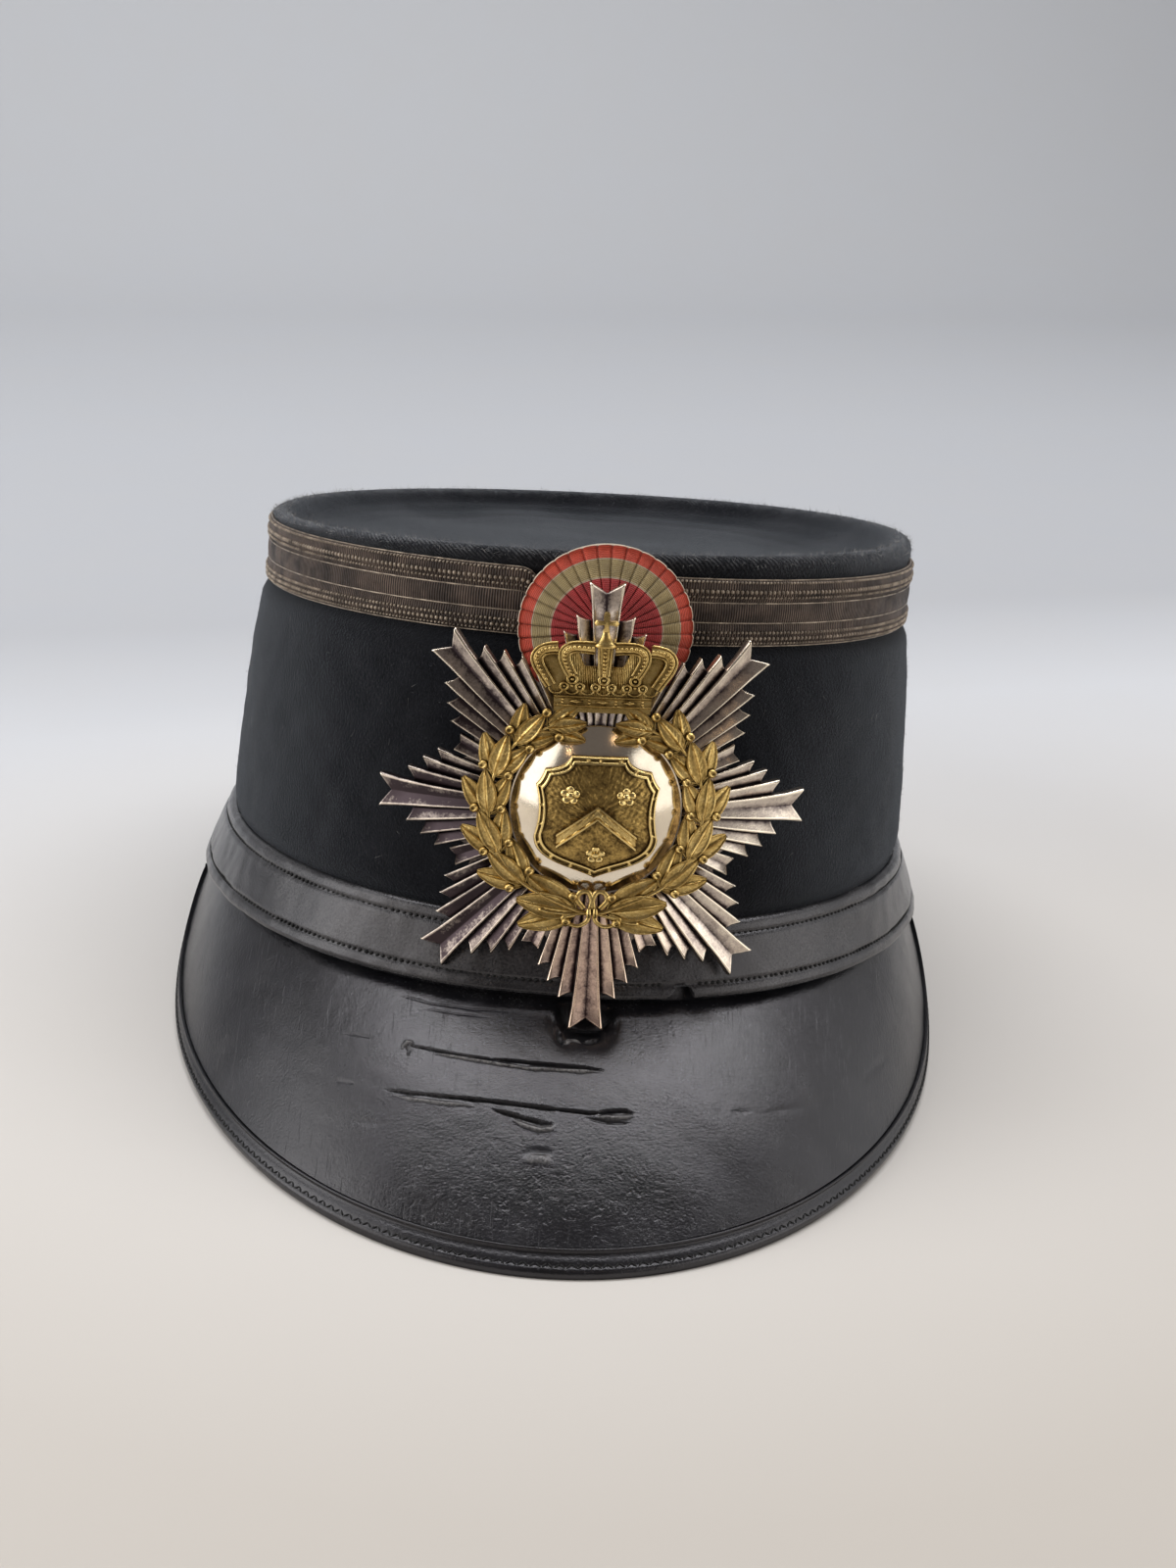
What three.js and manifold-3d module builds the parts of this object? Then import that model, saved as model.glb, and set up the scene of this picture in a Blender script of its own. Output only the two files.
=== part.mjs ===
// A kepi with a laced rim, a sunken top, a leather peak and a star badge, in millimetres.
// The hat is drawn upright, with its front along -Y and its head opening at height 0.
// The whole is then leaned back until it stands on the peak's edge and the back of its band.
import * as THREE from "three";
import { mergeVertices } from "three/addons/utils/BufferGeometryUtils.js";
import Module from "manifold-3d";

const wasm = await Module();
wasm.setup();

// Thicknesses and clearances
const GAP = 0.3;
const JOIN_TOLERANCE = 0.12;
const CLOTH = 2.6;
const BAND_LEATHER = 1.4;
const PEAK_LEATHER = 2.2;
const LACE = 1.0;

// Stance of the hat
const REST_TILT = 10; // degrees that the hat leans back
const FLATTENED = 0.25; // how far leather gives way where it stands on the surface
const FORWARD = 0.13; // the crown's axis moves forward this much for each millimetre of height
const SIDEWAYS = 0.018; // and this much towards +X
const OVAL = 2.16; // power of every oval's outline, a little squarer than an ellipse
const FRONT_DIP = 3.4; // how far the lower edge sinks at the front
const DIP_FADE = { from: 15, to: 45 }; // heights between which the dip dies out

// Outside of the cloth wall, with the rows that also shape its inside
const AROUND = 48;
const WALL_SECTIONS = [
  { height: 0, halfWidth: 81.4, halfLength: 100.8, inside: true },
  { height: 13, halfWidth: 79.0, halfLength: 97.6, inside: false },
  { height: 17.5, halfWidth: 80.0, halfLength: 98.3, inside: false },
  { height: 28, halfWidth: 79.4, halfLength: 96.2, inside: false },
  { height: 40, halfWidth: 78.5, halfLength: 93.3, inside: true },
  { height: 56, halfWidth: 77.3, halfLength: 89.2, inside: false },
  { height: 65.8, halfWidth: 75.8, halfLength: 85.9, inside: true },
  { height: 67.8, halfWidth: 73.7, halfLength: 83.2, inside: false },
  { height: 77.4, halfWidth: 73.9, halfLength: 83.35, inside: true },
];
const WALL_TOP = WALL_SECTIONS.at(-1);

// Rolled rim and sunken top: inset from the top of the wall, and the share of the rim's sideways lean
const RIM_SLOPE = { x: 0.024, y: -0.01 }; // the rim stands higher towards +X and towards the front
const RIM_PROFILE = [
  { inset: 0, height: WALL_TOP.height + GAP, lean: 0 },
  { inset: 0, height: 82.4, lean: 0 },
  { inset: -0.7, height: 83.6, lean: 0.3 },
  { inset: -0.2, height: 84.8, lean: 1 },
  { inset: 1.4, height: 85.7, lean: 1 },
  { inset: 3.6, height: 84.9, lean: 1 },
  { inset: 5.6, height: 82.0, lean: 0.9 },
  { inset: 9.0, height: 79.0, lean: 0.5 },
  { inset: 22, height: 77.6, lean: 0.2 },
];
const TOP_CENTRE = 76.6;
const TOP_CLOTH = 2.4;

// Lace round the upper edge: how far it stands out from its back, by height
const LACE_BACK = { halfWidth: 74.2, halfLength: 83.65 };
const LACE_PROFILE = [
  { out: 0, height: 68.2 },
  { out: 0.7 * LACE, height: 68.2 },
  { out: LACE, height: 69.4 },
  { out: LACE, height: 81.2 },
  { out: 0.7 * LACE, height: 82.4 },
  { out: 0, height: 82.4 },
];

// Leather band: it stands out over the peak and lies close to the wall at the back
const BAND_TOP = { height: 14.6, halfWidth: 80.8, halfLength: 99.6 };
const BAND_BOTTOM = { height: 0, halfWidth: 86.4, halfLength: 106.7 };
const BAND_BOTTOM_BACK = { halfWidth: 83.2, halfLength: 102.6 };
const BAND_FLARE_ENDS = { from: 100, to: 135 }; // bearings in degrees

// Peak: the edge is most of an ellipse seen from above, and it lies on the surface along the front
const PEAK_COLUMNS = 30;
const PEAK_END = 98; // bearing of the peak's ends on its edge, in degrees
const PEAK_ROOT_END = 91; // bearing of the same ends under the band
const PEAK_EDGE = { halfWidth: 87.7, centre: -30.7, front: -153.7 };
const PEAK_EDGE_RISE = { from: 68, height: 11.7, power: 2.2 };
const PEAK_FLANGE = { height: 3, halfWidth: 83.4, halfLength: 102.6 };
const PEAK_ROOT = { height: -1.2, halfWidth: 84, halfLength: 103.4 };
const PEAK_ROWS = [0.12, 0.26, 0.6, 1]; // shares of the way from the root to the binding
const PEAK_BULGE = 2.2;
const BINDING_WIDTH = 6;
const BINDING_GAP = 0.7;
const BINDING_THICKNESS = 3.2;
const BINDING_ABOVE_SURFACE = 0.9; // the edge's middle line over the surface before it is flattened
const DENT = { x: 5.2, y: -109, depth: 3.6, radius: 8.5 }; // pressed in by the badge's lowest ray

// Badge: placed on the front of the crown, its middle a little towards +X
const BADGE_BEARING = 2.3; // degrees round from the front
const BADGE_BACK = 106.4; // distance of the star's back from the crown's axis
const BADGE_HEIGHT = 36.2;
const BADGE_LEAN = 1;
const BADGE_ROLL = 1.2;
const BADGE_BEND = 73; // radius that the badge is bent to, about an upright axis

// Star rays by their edges, in degrees from the middle of each long ray
const LONG_RAYS = 8;
const LONG_RAY = { halfAngle: 3.9, reach: 45.9, notch: 2.4 };
const STEP_RAYS = [
  { from: 4.3, to: 8.3, reach: 39.4, slant: 1.4 },
  { from: 8.7, to: 12.4, reach: 36.4, slant: 1.3 },
  { from: 12.8, to: 16.4, reach: 34.0, slant: 1.2 },
];
const VALLEY_RAY = { halfAngle: 5.6, reach: 30.2, notch: 0.6, ridge: 1.4 };
const STAR_MIDDLE = 7;
const RAY_FREE = 17.6; // radius outside the boss, from which the ridges rise
const RIDGE = 1.9;
const TROUGH = 1.0;
const BESIDE_BOSS = 0.8; // height of every ray beside the boss

// Boss, shield, wreath and crown ornament, in the badge's own plane
const BOSS = { radius: 17.2, height: 4.0, base: 1.3 };
const BOSS_RINGS = 4;
const BOSS_SEGMENTS = 24;
const SHIELD = { across: 23.2, tall: 24.8, below: 2.4, plate: 0.8, border: 0.7 };
const SHIELD_RIM = { outer: 0.95, inner: 0.87, field: 0.84 }; // shares of the outline
const CHEVRON = { half: 7.4, peak: 1.8, foot: -4.4, bar: 2.8, depth: 1.6 };
const ROSETTE = { radius: 1.9, crest: 1.0, shoulder: 0.8, height: 1.3, sides: 10 };
const ROSETTE_PLACES = [
  { x: -5.2, y: 3.6 },
  { x: 5.2, y: 3.6 },
  { x: 0, y: -8.4 },
];
const WREATH = { radius: 20.6, base: 2.75, stem: 0.75, bow: 0.56 };
const SPRIGS = [
  { bearing: 10, radius: 20.4, leaf: 11, splays: [-30, 2, 34] },
  { bearing: 48, radius: 20.2, leaf: 9, splays: [-34, 0, 34] },
  { bearing: 76, radius: 20.8, leaf: 8.6, splays: [-34, 0, 34] },
  { bearing: 103, radius: 20.8, leaf: 8.6, splays: [-34, 0, 34] },
  { bearing: 130, radius: 20.4, leaf: 7.4, splays: [-34, 2, 38] },
  { bearing: 149, radius: 18.4, leaf: 6.6, splays: [20, 46] },
];
const STEM_END = { bearing: 153, radius: 18 };
const LEAF_WIDTH = 0.4; // of its length
const LEAF_HEIGHT = 1.1;
const LEAF_TIP = 0.2; // height of a leaf's two ends
const BERRY = { radius: 0.95, offsets: [-0.95, 0.95] };
const BOW_LOOPS = [
  { rise: 4.4, reach: 2.4 },
  { rise: -3.2, reach: 4.6 },
];
const BOW_KNOT = 1.5;
const CROWN_SEAT = 2.9; // height of the crown's back over the star's back
const CROWN_PLATE = 0.9;
const CROWN_BASE = 19.1; // distance of the circlet's foot from the star's middle
const CIRCLET = { half: 9.6, tall: 2.4, depth: 1.7, overlap: 0.6 };
const CROWN_BODY = { flare: 12.6, widest: 14.5, widestAt: 10.6, shoulder: 11.8, top: 9.2, topAt: 14.3 };
const CROWN_GAPS = [
  { x: 4.2, y: 10.8, width: 3.4, tall: 2.4 },
  { x: 11.2, y: 10.4, width: 2.0, tall: 2.4 },
];
const CROWN_RIB = { radius: 0.95, lift: 1.1, steps: 7, sides: 3 };
const MIDDLE_RIB = [
  { x: 0, y: 4.4 },
  { x: 0, y: 9 },
  { x: 0, y: 14 },
];
const INNER_RIB = [
  { x: 6.2, y: 4.4 },
  { x: 7.6, y: 8 },
  { x: 7.9, y: 11.6 },
  { x: 6.2, y: 13.4 },
  { x: 3.4, y: 13.5 },
  { x: 1.6, y: 12.6 },
];
const OUTER_RIB = [
  { x: 10.3, y: 4.2 },
  { x: 12.4, y: 7.6 },
  { x: 13.6, y: 10.6 },
  { x: 12.4, y: 12.6 },
  { x: 9.4, y: 13.4 },
];
const TREFOIL = { radius: 1.15, pitch: 2.75, eachSide: 3, y: 3.5, lift: 0.9 };
const ORB = { radius: 1.75, y: 15.5, lift: 1.2 };
const CROSS = { foot: 15.2, top: 21, arm: 1.3, barAt: 18.4, bar: 4.6, barTall: 1.1, depth: 1, lift: 0.7 };

// Cockade on the lace
const COCKADE = { radius: 17.5, pleats: 36, edge: 2.2, middle: 4.6, pleat: 0.4, bend: 70 };
const COCKADE_BACK = 96.7; // distance of its back from the crown's axis
const COCKADE_HEIGHT = 71.3;
const COCKADE_RINGS = [0.18, 0.63, 0.83, 1];
const COCKADE_UNDER = { edge: 0.4, flat: 0.6 }; // height of the back's edge, and share that lies flat

// Post behind the star
const POST = { radius: 3, sides: 16 };

const rad = THREE.MathUtils.degToRad;
const { lerp, smoothstep, clamp } = THREE.MathUtils;
const V = (x, y, z) => new THREE.Vector3(x, y, z);

// Geometry from points and triangles, turned inside out if its faces point inwards
function closed(points, triangles) {
  let volume = 0;
  for (const [a, b, c] of triangles) {
    volume += points[a].dot(V(0, 0, 0).crossVectors(points[b], points[c]));
  }
  const facing = volume < 0 ? triangles.map(([a, b, c]) => [a, c, b]) : triangles;
  const geometry = new THREE.BufferGeometry();
  geometry.setAttribute("position", new THREE.Float32BufferAttribute(points.flatMap((p) => p.toArray()), 3));
  geometry.setIndex(facing.flat());
  return geometry;
}

// Closed solid through rings of points; a ring of one point is a pole, and a loop joins last to first
function skin(rings, loop = false) {
  const points = rings.flat();
  const starts = rings.map((_, i) => rings.slice(0, i).reduce((sum, ring) => sum + ring.length, 0));
  const triangles = [];
  const pairs = loop ? rings.length : rings.length - 1;
  for (let i = 0; i < pairs; i += 1) {
    const j = (i + 1) % rings.length;
    const count = Math.max(rings[i].length, rings[j].length);
    for (let k = 0; k < count; k += 1) {
      const next = (k + 1) % count;
      const [a, b] = rings[i].length === 1 ? [0, 0] : [k, next];
      const [c, d] = rings[j].length === 1 ? [0, 0] : [k, next];
      if (a !== b) triangles.push([starts[i] + a, starts[i] + b, starts[j] + d]);
      if (c !== d) triangles.push([starts[i] + a, starts[j] + d, starts[j] + c]);
    }
  }
  return closed(points, triangles);
}

// Closed slab between two grids of points with the same rows and columns
function slab(top, bottom) {
  const rows = top.length;
  const columns = top[0].length;
  const points = [...top.flat(), ...bottom.flat()];
  const at = (side, row, column) => side * rows * columns + row * columns + column;
  const triangles = [];
  const quad = (a, b, c, d) => triangles.push([a, b, c], [a, c, d]);
  for (let r = 0; r + 1 < rows; r += 1) {
    for (let c = 0; c + 1 < columns; c += 1) {
      quad(at(0, r, c), at(0, r + 1, c), at(0, r + 1, c + 1), at(0, r, c + 1));
      quad(at(1, r, c), at(1, r, c + 1), at(1, r + 1, c + 1), at(1, r + 1, c));
    }
    quad(at(0, r, 0), at(1, r, 0), at(1, r + 1, 0), at(0, r + 1, 0));
    quad(at(0, r, columns - 1), at(0, r + 1, columns - 1), at(1, r + 1, columns - 1), at(1, r, columns - 1));
  }
  for (let c = 0; c + 1 < columns; c += 1) {
    quad(at(0, 0, c), at(0, 0, c + 1), at(1, 0, c + 1), at(1, 0, c));
    quad(at(0, rows - 1, c), at(1, rows - 1, c), at(1, rows - 1, c + 1), at(0, rows - 1, c + 1));
  }
  return closed(points, triangles);
}

function toSolid(geometry) {
  const bare = geometry.clone();
  bare.deleteAttribute("normal");
  bare.deleteAttribute("uv");
  const merged = mergeVertices(bare, 1e-4);
  const vertProperties = merged.attributes.position.array;
  const corners = merged.index.array;
  const triVerts = [];
  for (let i = 0; i < corners.length; i += 3) {
    const triangle = corners.slice(i, i + 3);
    if (new Set(triangle).size === 3) triVerts.push(...triangle);
  }
  const mesh = new wasm.Mesh({ numProp: 3, vertProperties, triVerts: new Uint32Array(triVerts) });
  return new wasm.Manifold(mesh);
}

function toGeometry(solid) {
  const mesh = solid.getMesh();
  const geometry = new THREE.BufferGeometry();
  geometry.setAttribute("position", new THREE.BufferAttribute(new Float32Array(mesh.vertProperties), 3));
  geometry.setIndex(Array.from(mesh.triVerts));
  return geometry;
}

// One solid from several that touch, without the slivers that joining leaves
function join(geometries) {
  const joined = geometries.map(toSolid).reduce((all, one) => all.add(one));
  return toGeometry(joined.simplify(JOIN_TOLERANCE));
}

// Geometry of a rod along a curve, with a round section
function rod(curve, radius, steps, sides) {
  const section = new THREE.Shape();
  section.absarc(0, 0, radius, 0, 2 * Math.PI);
  return new THREE.ExtrudeGeometry(section, { extrudePath: curve, steps, curveSegments: sides });
}

// Point of an oval ring at a bearing from the front, with the lower edge sinking towards the front
function ringPoint(bearing, height, halfWidth, halfLength) {
  const oval = (value) => Math.sign(value) * Math.abs(value) ** (2 / OVAL);
  const front = Math.max(oval(Math.cos(bearing)), 0);
  const dip = FRONT_DIP * front ** 2 * (1 - smoothstep(height, DIP_FADE.from, DIP_FADE.to));
  const x = SIDEWAYS * height + halfWidth * oval(Math.sin(bearing));
  const y = -FORWARD * height - halfLength * oval(Math.cos(bearing));
  return V(x, y, height - dip);
}

const BEARINGS = Array.from({ length: AROUND }, (_, i) => (2 * Math.PI * i) / AROUND);

function ring(height, halfWidth, halfLength) {
  return BEARINGS.map((bearing) => ringPoint(bearing, height, halfWidth, halfLength));
}

// Cloth crown

function crownSide() {
  const outside = WALL_SECTIONS.map((s) => ring(s.height, s.halfWidth, s.halfLength));
  const inside = WALL_SECTIONS.filter((s) => s.inside).map((s) =>
    ring(s.height, s.halfWidth - CLOTH, s.halfLength - CLOTH),
  );
  return skin([...outside, ...inside.reverse()], true);
}

function crownTop() {
  const rimRing = ({ inset, height, lean }) => {
    const points = ring(height, WALL_TOP.halfWidth - inset, WALL_TOP.halfLength - inset);
    return points.map((p) => p.setZ(p.z + lean * (RIM_SLOPE.x * p.x + RIM_SLOPE.y * p.y)));
  };
  const centre = (height) => [V(SIDEWAYS * height, -FORWARD * height, height)];
  const upper = RIM_PROFILE.map(rimRing);
  const seat = rimRing({ ...RIM_PROFILE[0], inset: CLOTH });
  const dish = RIM_PROFILE.slice(-2).map((row) => rimRing({ ...row, height: row.height - TOP_CLOTH }));
  return skin([...upper, centre(TOP_CENTRE), centre(TOP_CENTRE - TOP_CLOTH), ...dish.reverse(), seat], true);
}

function laceBand() {
  const rows = LACE_PROFILE.map(({ out, height }) =>
    ring(height, LACE_BACK.halfWidth + out, LACE_BACK.halfLength + out),
  );
  return skin(rows, true);
}

// The surface that the hat stands on, in the upright hat's frame
const SURFACE_SLOPE = Math.tan(rad(REST_TILT));
const BACK_EDGE = BAND_BOTTOM_BACK.halfLength;
const SURFACE_LIFT = FLATTENED / Math.cos(rad(REST_TILT));
const surfaceHeight = (y) => SURFACE_LIFT - (BACK_EDGE - y) * SURFACE_SLOPE;

// Leather pressed flat where it would sink into the surface
function flattened(geometry) {
  const size = 500;
  const block = new THREE.BoxGeometry(size, size, size);
  block.translate(0, 0, -size / 2);
  block.rotateX(rad(REST_TILT));
  block.translate(0, 0, surfaceHeight(0));
  return toGeometry(toSolid(geometry).subtract(toSolid(block)));
}

// Leather band and peak

function leatherBand() {
  const shares = [0, 0.5, 1];
  const row = (share, inwards) =>
    BEARINGS.map((bearing) => {
      const turned = Math.abs(THREE.MathUtils.radToDeg(bearing) - 180);
      const close = smoothstep(180 - turned, BAND_FLARE_ENDS.from, BAND_FLARE_ENDS.to);
      const width = lerp(BAND_BOTTOM.halfWidth, BAND_BOTTOM_BACK.halfWidth, close);
      const length = lerp(BAND_BOTTOM.halfLength, BAND_BOTTOM_BACK.halfLength, close);
      return ringPoint(
        bearing,
        lerp(BAND_BOTTOM.height, BAND_TOP.height, share),
        lerp(width, BAND_TOP.halfWidth, share) - inwards,
        lerp(length, BAND_TOP.halfLength, share) - inwards,
      );
    });
  const outside = shares.map((share) => row(share, 0));
  const inside = shares.map((share) => row(share, BAND_LEATHER)).reverse();
  return flattened(skin([...outside, ...inside], true));
}

// Outer edge of the peak at a bearing, in radians
function peakEdge(bearing) {
  const x = PEAK_EDGE.halfWidth * Math.sin(bearing);
  const y = PEAK_EDGE.centre + (PEAK_EDGE.front - PEAK_EDGE.centre) * Math.cos(bearing);
  const past = Math.abs(THREE.MathUtils.radToDeg(bearing)) - PEAK_EDGE_RISE.from;
  const share = clamp(past / (PEAK_END - PEAK_EDGE_RISE.from), 0, 1);
  const rise = PEAK_EDGE_RISE.height * share ** PEAK_EDGE_RISE.power;
  return V(x, y, surfaceHeight(y) + BINDING_ABOVE_SURFACE + rise);
}

// Point of the peak's upper face, from 0 at its root to 1 at its outer edge
function peakPoint(bearing, share) {
  const rootBearing = (bearing * PEAK_ROOT_END) / PEAK_END;
  const root = ringPoint(rootBearing, PEAK_ROOT.height, PEAK_ROOT.halfWidth, PEAK_ROOT.halfLength);
  const edge = peakEdge(bearing);
  const bulge = PEAK_BULGE * Math.max(Math.cos(bearing), 0) * Math.sin(Math.PI * share);
  return root.lerp(edge, share).add(V(0, -0.6 * bulge, 0.8 * bulge));
}

// Outward unit normal of the peak's upper face
function peakNormal(bearing, share) {
  const step = 0.01;
  const across = peakPoint(bearing + step, share).sub(peakPoint(bearing - step, share));
  const along = peakPoint(bearing, share + step).sub(peakPoint(bearing, share - step));
  return along.cross(across).normalize();
}

const PEAK_BEARINGS = Array.from({ length: PEAK_COLUMNS + 1 }, (_, i) =>
  rad(lerp(-PEAK_END, PEAK_END, i / PEAK_COLUMNS)),
);

// Share of the way out at which the binding begins
function bindingStart(bearing) {
  const length = peakPoint(bearing, 0).distanceTo(peakPoint(bearing, 1));
  return 1 - Math.min(BINDING_WIDTH / length, 0.6);
}

function peak() {
  const flangePoint = (bearing) => {
    const rootBearing = (bearing * PEAK_ROOT_END) / PEAK_END;
    return ringPoint(rootBearing, PEAK_FLANGE.height, PEAK_FLANGE.halfWidth, PEAK_FLANGE.halfLength);
  };
  const flangeNormal = (bearing) => V(Math.sin(bearing), -Math.cos(bearing), 0);
  const top = [PEAK_BEARINGS.map(flangePoint), PEAK_BEARINGS.map((b) => peakPoint(b, 0))];
  const normals = [
    PEAK_BEARINGS.map(flangeNormal),
    PEAK_BEARINGS.map((b) => peakNormal(b, 0).add(flangeNormal(b)).normalize()),
  ];
  for (const row of PEAK_ROWS) {
    const shares = PEAK_BEARINGS.map((b) => row * bindingStart(b));
    top.push(PEAK_BEARINGS.map((b, i) => peakPoint(b, shares[i])));
    normals.push(PEAK_BEARINGS.map((b, i) => peakNormal(b, shares[i])));
  }
  for (const [r, points] of top.entries()) {
    for (const [c, point] of points.entries()) {
      const away = Math.hypot(point.x - DENT.x, point.y - DENT.y) / DENT.radius;
      const depth = r < 2 ? 0 : DENT.depth * Math.exp(-(away ** 2));
      point.addScaledVector(normals[r][c], -depth);
    }
  }
  const offset = (point, normal) => point.clone().addScaledVector(normal, -PEAK_LEATHER);
  const bottom = top.map((points, r) => points.map((point, c) => offset(point, normals[r][c])));
  return slab(top, bottom);
}

function peakBinding() {
  const outline = [
    { out: 0, up: 0.46 },
    { out: 0.5, up: 0.5 },
    { out: 0.9, up: 0.34 },
    { out: 1, up: 0 },
    { out: 0.9, up: -0.34 },
    { out: 0.5, up: -0.5 },
    { out: 0, up: -0.46 },
  ];
  const sections = PEAK_BEARINGS.map((bearing) => {
    const start = bindingStart(bearing);
    const inner = peakPoint(bearing, start);
    const normal = peakNormal(bearing, start);
    const outwards = peakPoint(bearing, 1).sub(inner);
    const width = outwards.length() - BINDING_GAP;
    outwards.normalize();
    inner.addScaledVector(outwards, BINDING_GAP).addScaledVector(normal, -PEAK_LEATHER / 2);
    return outline.map(({ out, up }) =>
      inner
        .clone()
        .addScaledVector(outwards, out * width)
        .addScaledVector(normal, up * BINDING_THICKNESS),
    );
  });
  const middle = (points) => [points.reduce((sum, p) => sum.add(p), V(0, 0, 0)).divideScalar(points.length)];
  return flattened(skin([middle(sections[0]), ...sections, middle(sections.at(-1))]));
}

// Badge: flat shapes in its own plane, with X across, Y up and Z outwards, bent round the crown

function bent(geometry, radius) {
  const position = geometry.attributes.position;
  for (let i = 0; i < position.count; i += 1) {
    const turn = position.getX(i) / radius;
    const out = radius + position.getZ(i);
    position.setX(i, out * Math.sin(turn));
    position.setZ(i, out * Math.cos(turn) - radius);
  }
  return geometry;
}

// Bearings in the badge's plane are measured from the top, clockwise
const polar = (degrees, radius, z) => V(radius * Math.sin(rad(degrees)), radius * Math.cos(rad(degrees)), z);

// Lathed solid about Z from a profile of radius and height
function turned(profile, segments) {
  const points = profile.map(({ radius, height }) => new THREE.Vector2(radius, height));
  return new THREE.LatheGeometry(points, segments).rotateX(Math.PI / 2);
}

// Stops across the rays of one eighth of the star: bearing, reach and height of each fold
function starStops(middle) {
  const { halfAngle, reach, notch } = LONG_RAY;
  const valley = middle + 180 / LONG_RAYS;
  const long = [
    { bearing: middle - halfAngle, reach, height: RIDGE },
    { bearing: middle, reach: reach - notch, height: TROUGH },
    { bearing: middle + halfAngle, reach, height: RIDGE },
  ];
  const steps = (side) =>
    STEP_RAYS.flatMap((step) => [
      { bearing: middle + side * step.from, reach: step.reach - step.slant, height: TROUGH },
      { bearing: middle + side * step.to, reach: step.reach, height: RIDGE },
    ]);
  const short = [-1, 0, 1].map((side) => ({
    bearing: valley + side * VALLEY_RAY.halfAngle,
    reach: VALLEY_RAY.reach - (side === 0 ? VALLEY_RAY.notch : 0),
    height: side === 0 ? BESIDE_BOSS : VALLEY_RAY.ridge,
  }));
  return [...steps(-1).reverse(), ...long, ...steps(1), ...short];
}

function starPlate() {
  const stops = Array.from({ length: LONG_RAYS }, (_, i) => starStops((360 * i) / LONG_RAYS)).flat();
  const circle = (radius, height) => stops.map(({ bearing }) => polar(bearing, radius, height));
  const halfway = ({ bearing, reach, height }) =>
    polar(bearing, (RAY_FREE + reach) / 2, lerp(BESIDE_BOSS, height, 0.6));
  const rings = [
    [V(0, 0, BESIDE_BOSS)],
    circle(STAR_MIDDLE, BESIDE_BOSS),
    circle(RAY_FREE, BESIDE_BOSS),
    stops.map(halfway),
    stops.map(({ bearing, reach, height }) => polar(bearing, reach, height)),
    stops.map(({ bearing, reach }) => polar(bearing, reach, 0)),
    circle(RAY_FREE, 0),
    circle(STAR_MIDDLE, 0),
    [V(0, 0, 0)],
  ];
  return bent(skin(rings), BADGE_BEND);
}

// Height of the boss over the star's back at a distance from its middle
function bossHeight(radius) {
  const sphere = (BOSS.radius ** 2 + BOSS.height ** 2) / (2 * BOSS.height);
  const drop = sphere - Math.sqrt(sphere ** 2 - Math.min(radius, BOSS.radius) ** 2);
  return BOSS.base + BOSS.height - drop;
}

function boss() {
  const radii = Array.from({ length: BOSS_RINGS + 1 }, (_, i) => (BOSS.radius * i) / BOSS_RINGS);
  const under = radii.map((radius) => ({ radius, height: BOSS.base }));
  const over = radii.slice(0, -1).map((radius) => ({ radius, height: bossHeight(radius) }));
  const dome = turned([...under, ...over.reverse()], BOSS_SEGMENTS);
  return bent(toGeometry(toSolid(dome)), BADGE_BEND);
}

// Outline of the shield: straight top, notched shoulders, waisted sides and a pointed foot
function shieldOutline() {
  const half = SHIELD.across / 2;
  const top = SHIELD.tall / 2;
  const outline = new THREE.Shape();
  outline.moveTo(0, top);
  outline.lineTo(half * 0.45, top);
  outline.quadraticCurveTo(half * 0.5, top * 0.8, half * 0.86, top * 0.76);
  outline.quadraticCurveTo(half * 0.9, top * 0.6, half, top * 0.5);
  outline.quadraticCurveTo(half * 0.86, top * 0.1, half, -top * 0.35);
  outline.bezierCurveTo(half, -top * 0.8, half * 0.35, -top * 0.8, 0, -top);
  const right = outline.getPoints(4).slice(0, -1);
  const left = outline.getPoints(4).slice(1).reverse();
  return [...right, ...left.map((p) => new THREE.Vector2(-p.x, p.y))];
}

function shield() {
  const outline = shieldOutline();
  const layer = (share, height) =>
    outline.map((p) => {
      const x = p.x * share;
      const y = p.y * share - SHIELD.below;
      return V(x, y, bossHeight(Math.hypot(x, y)) + GAP + height);
    });
  const pole = (height) => [V(0, -SHIELD.below, bossHeight(SHIELD.below) + GAP + height)];
  const { plate, border } = SHIELD;
  const face = skin([
    pole(0),
    layer(0.5, 0),
    layer(1, 0),
    layer(1, plate + border / 2),
    layer(SHIELD_RIM.outer, plate + border),
    layer(SHIELD_RIM.inner, plate + border),
    layer(SHIELD_RIM.field, plate),
    layer(0.5, plate),
    pole(plate),
  ]);
  const lift = (x, y) => bossHeight(Math.hypot(x, y)) + GAP + plate / 2;
  const rosettes = ROSETTE_PLACES.map(({ x, y }) => rosette().translate(x, y, lift(x, y)));
  return bent(join([face, chevron(lift), ...rosettes]), BADGE_BEND);
}

// Bent bar across the shield, lifted to follow the boss
function chevron(lift) {
  const { half, peak: tip, foot, bar, depth } = CHEVRON;
  const outline = new THREE.Shape();
  outline.moveTo(0, tip);
  outline.lineTo(half, foot);
  outline.lineTo(half, foot - bar);
  outline.lineTo(0, tip - bar);
  outline.lineTo(-half, foot - bar);
  outline.lineTo(-half, foot);
  const geometry = new THREE.ExtrudeGeometry(outline, { depth, bevelEnabled: false });
  const position = geometry.attributes.position;
  for (let i = 0; i < position.count; i += 1) {
    position.setZ(i, position.getZ(i) + lift(position.getX(i), position.getY(i)));
  }
  return geometry;
}

function rosette() {
  const profile = [
    { radius: 0, height: 0 },
    { radius: ROSETTE.radius, height: 0 },
    { radius: ROSETTE.radius, height: ROSETTE.shoulder },
    { radius: ROSETTE.crest, height: ROSETTE.height },
    { radius: 0, height: ROSETTE.height },
  ];
  return turned(profile, ROSETTE.sides);
}

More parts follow.
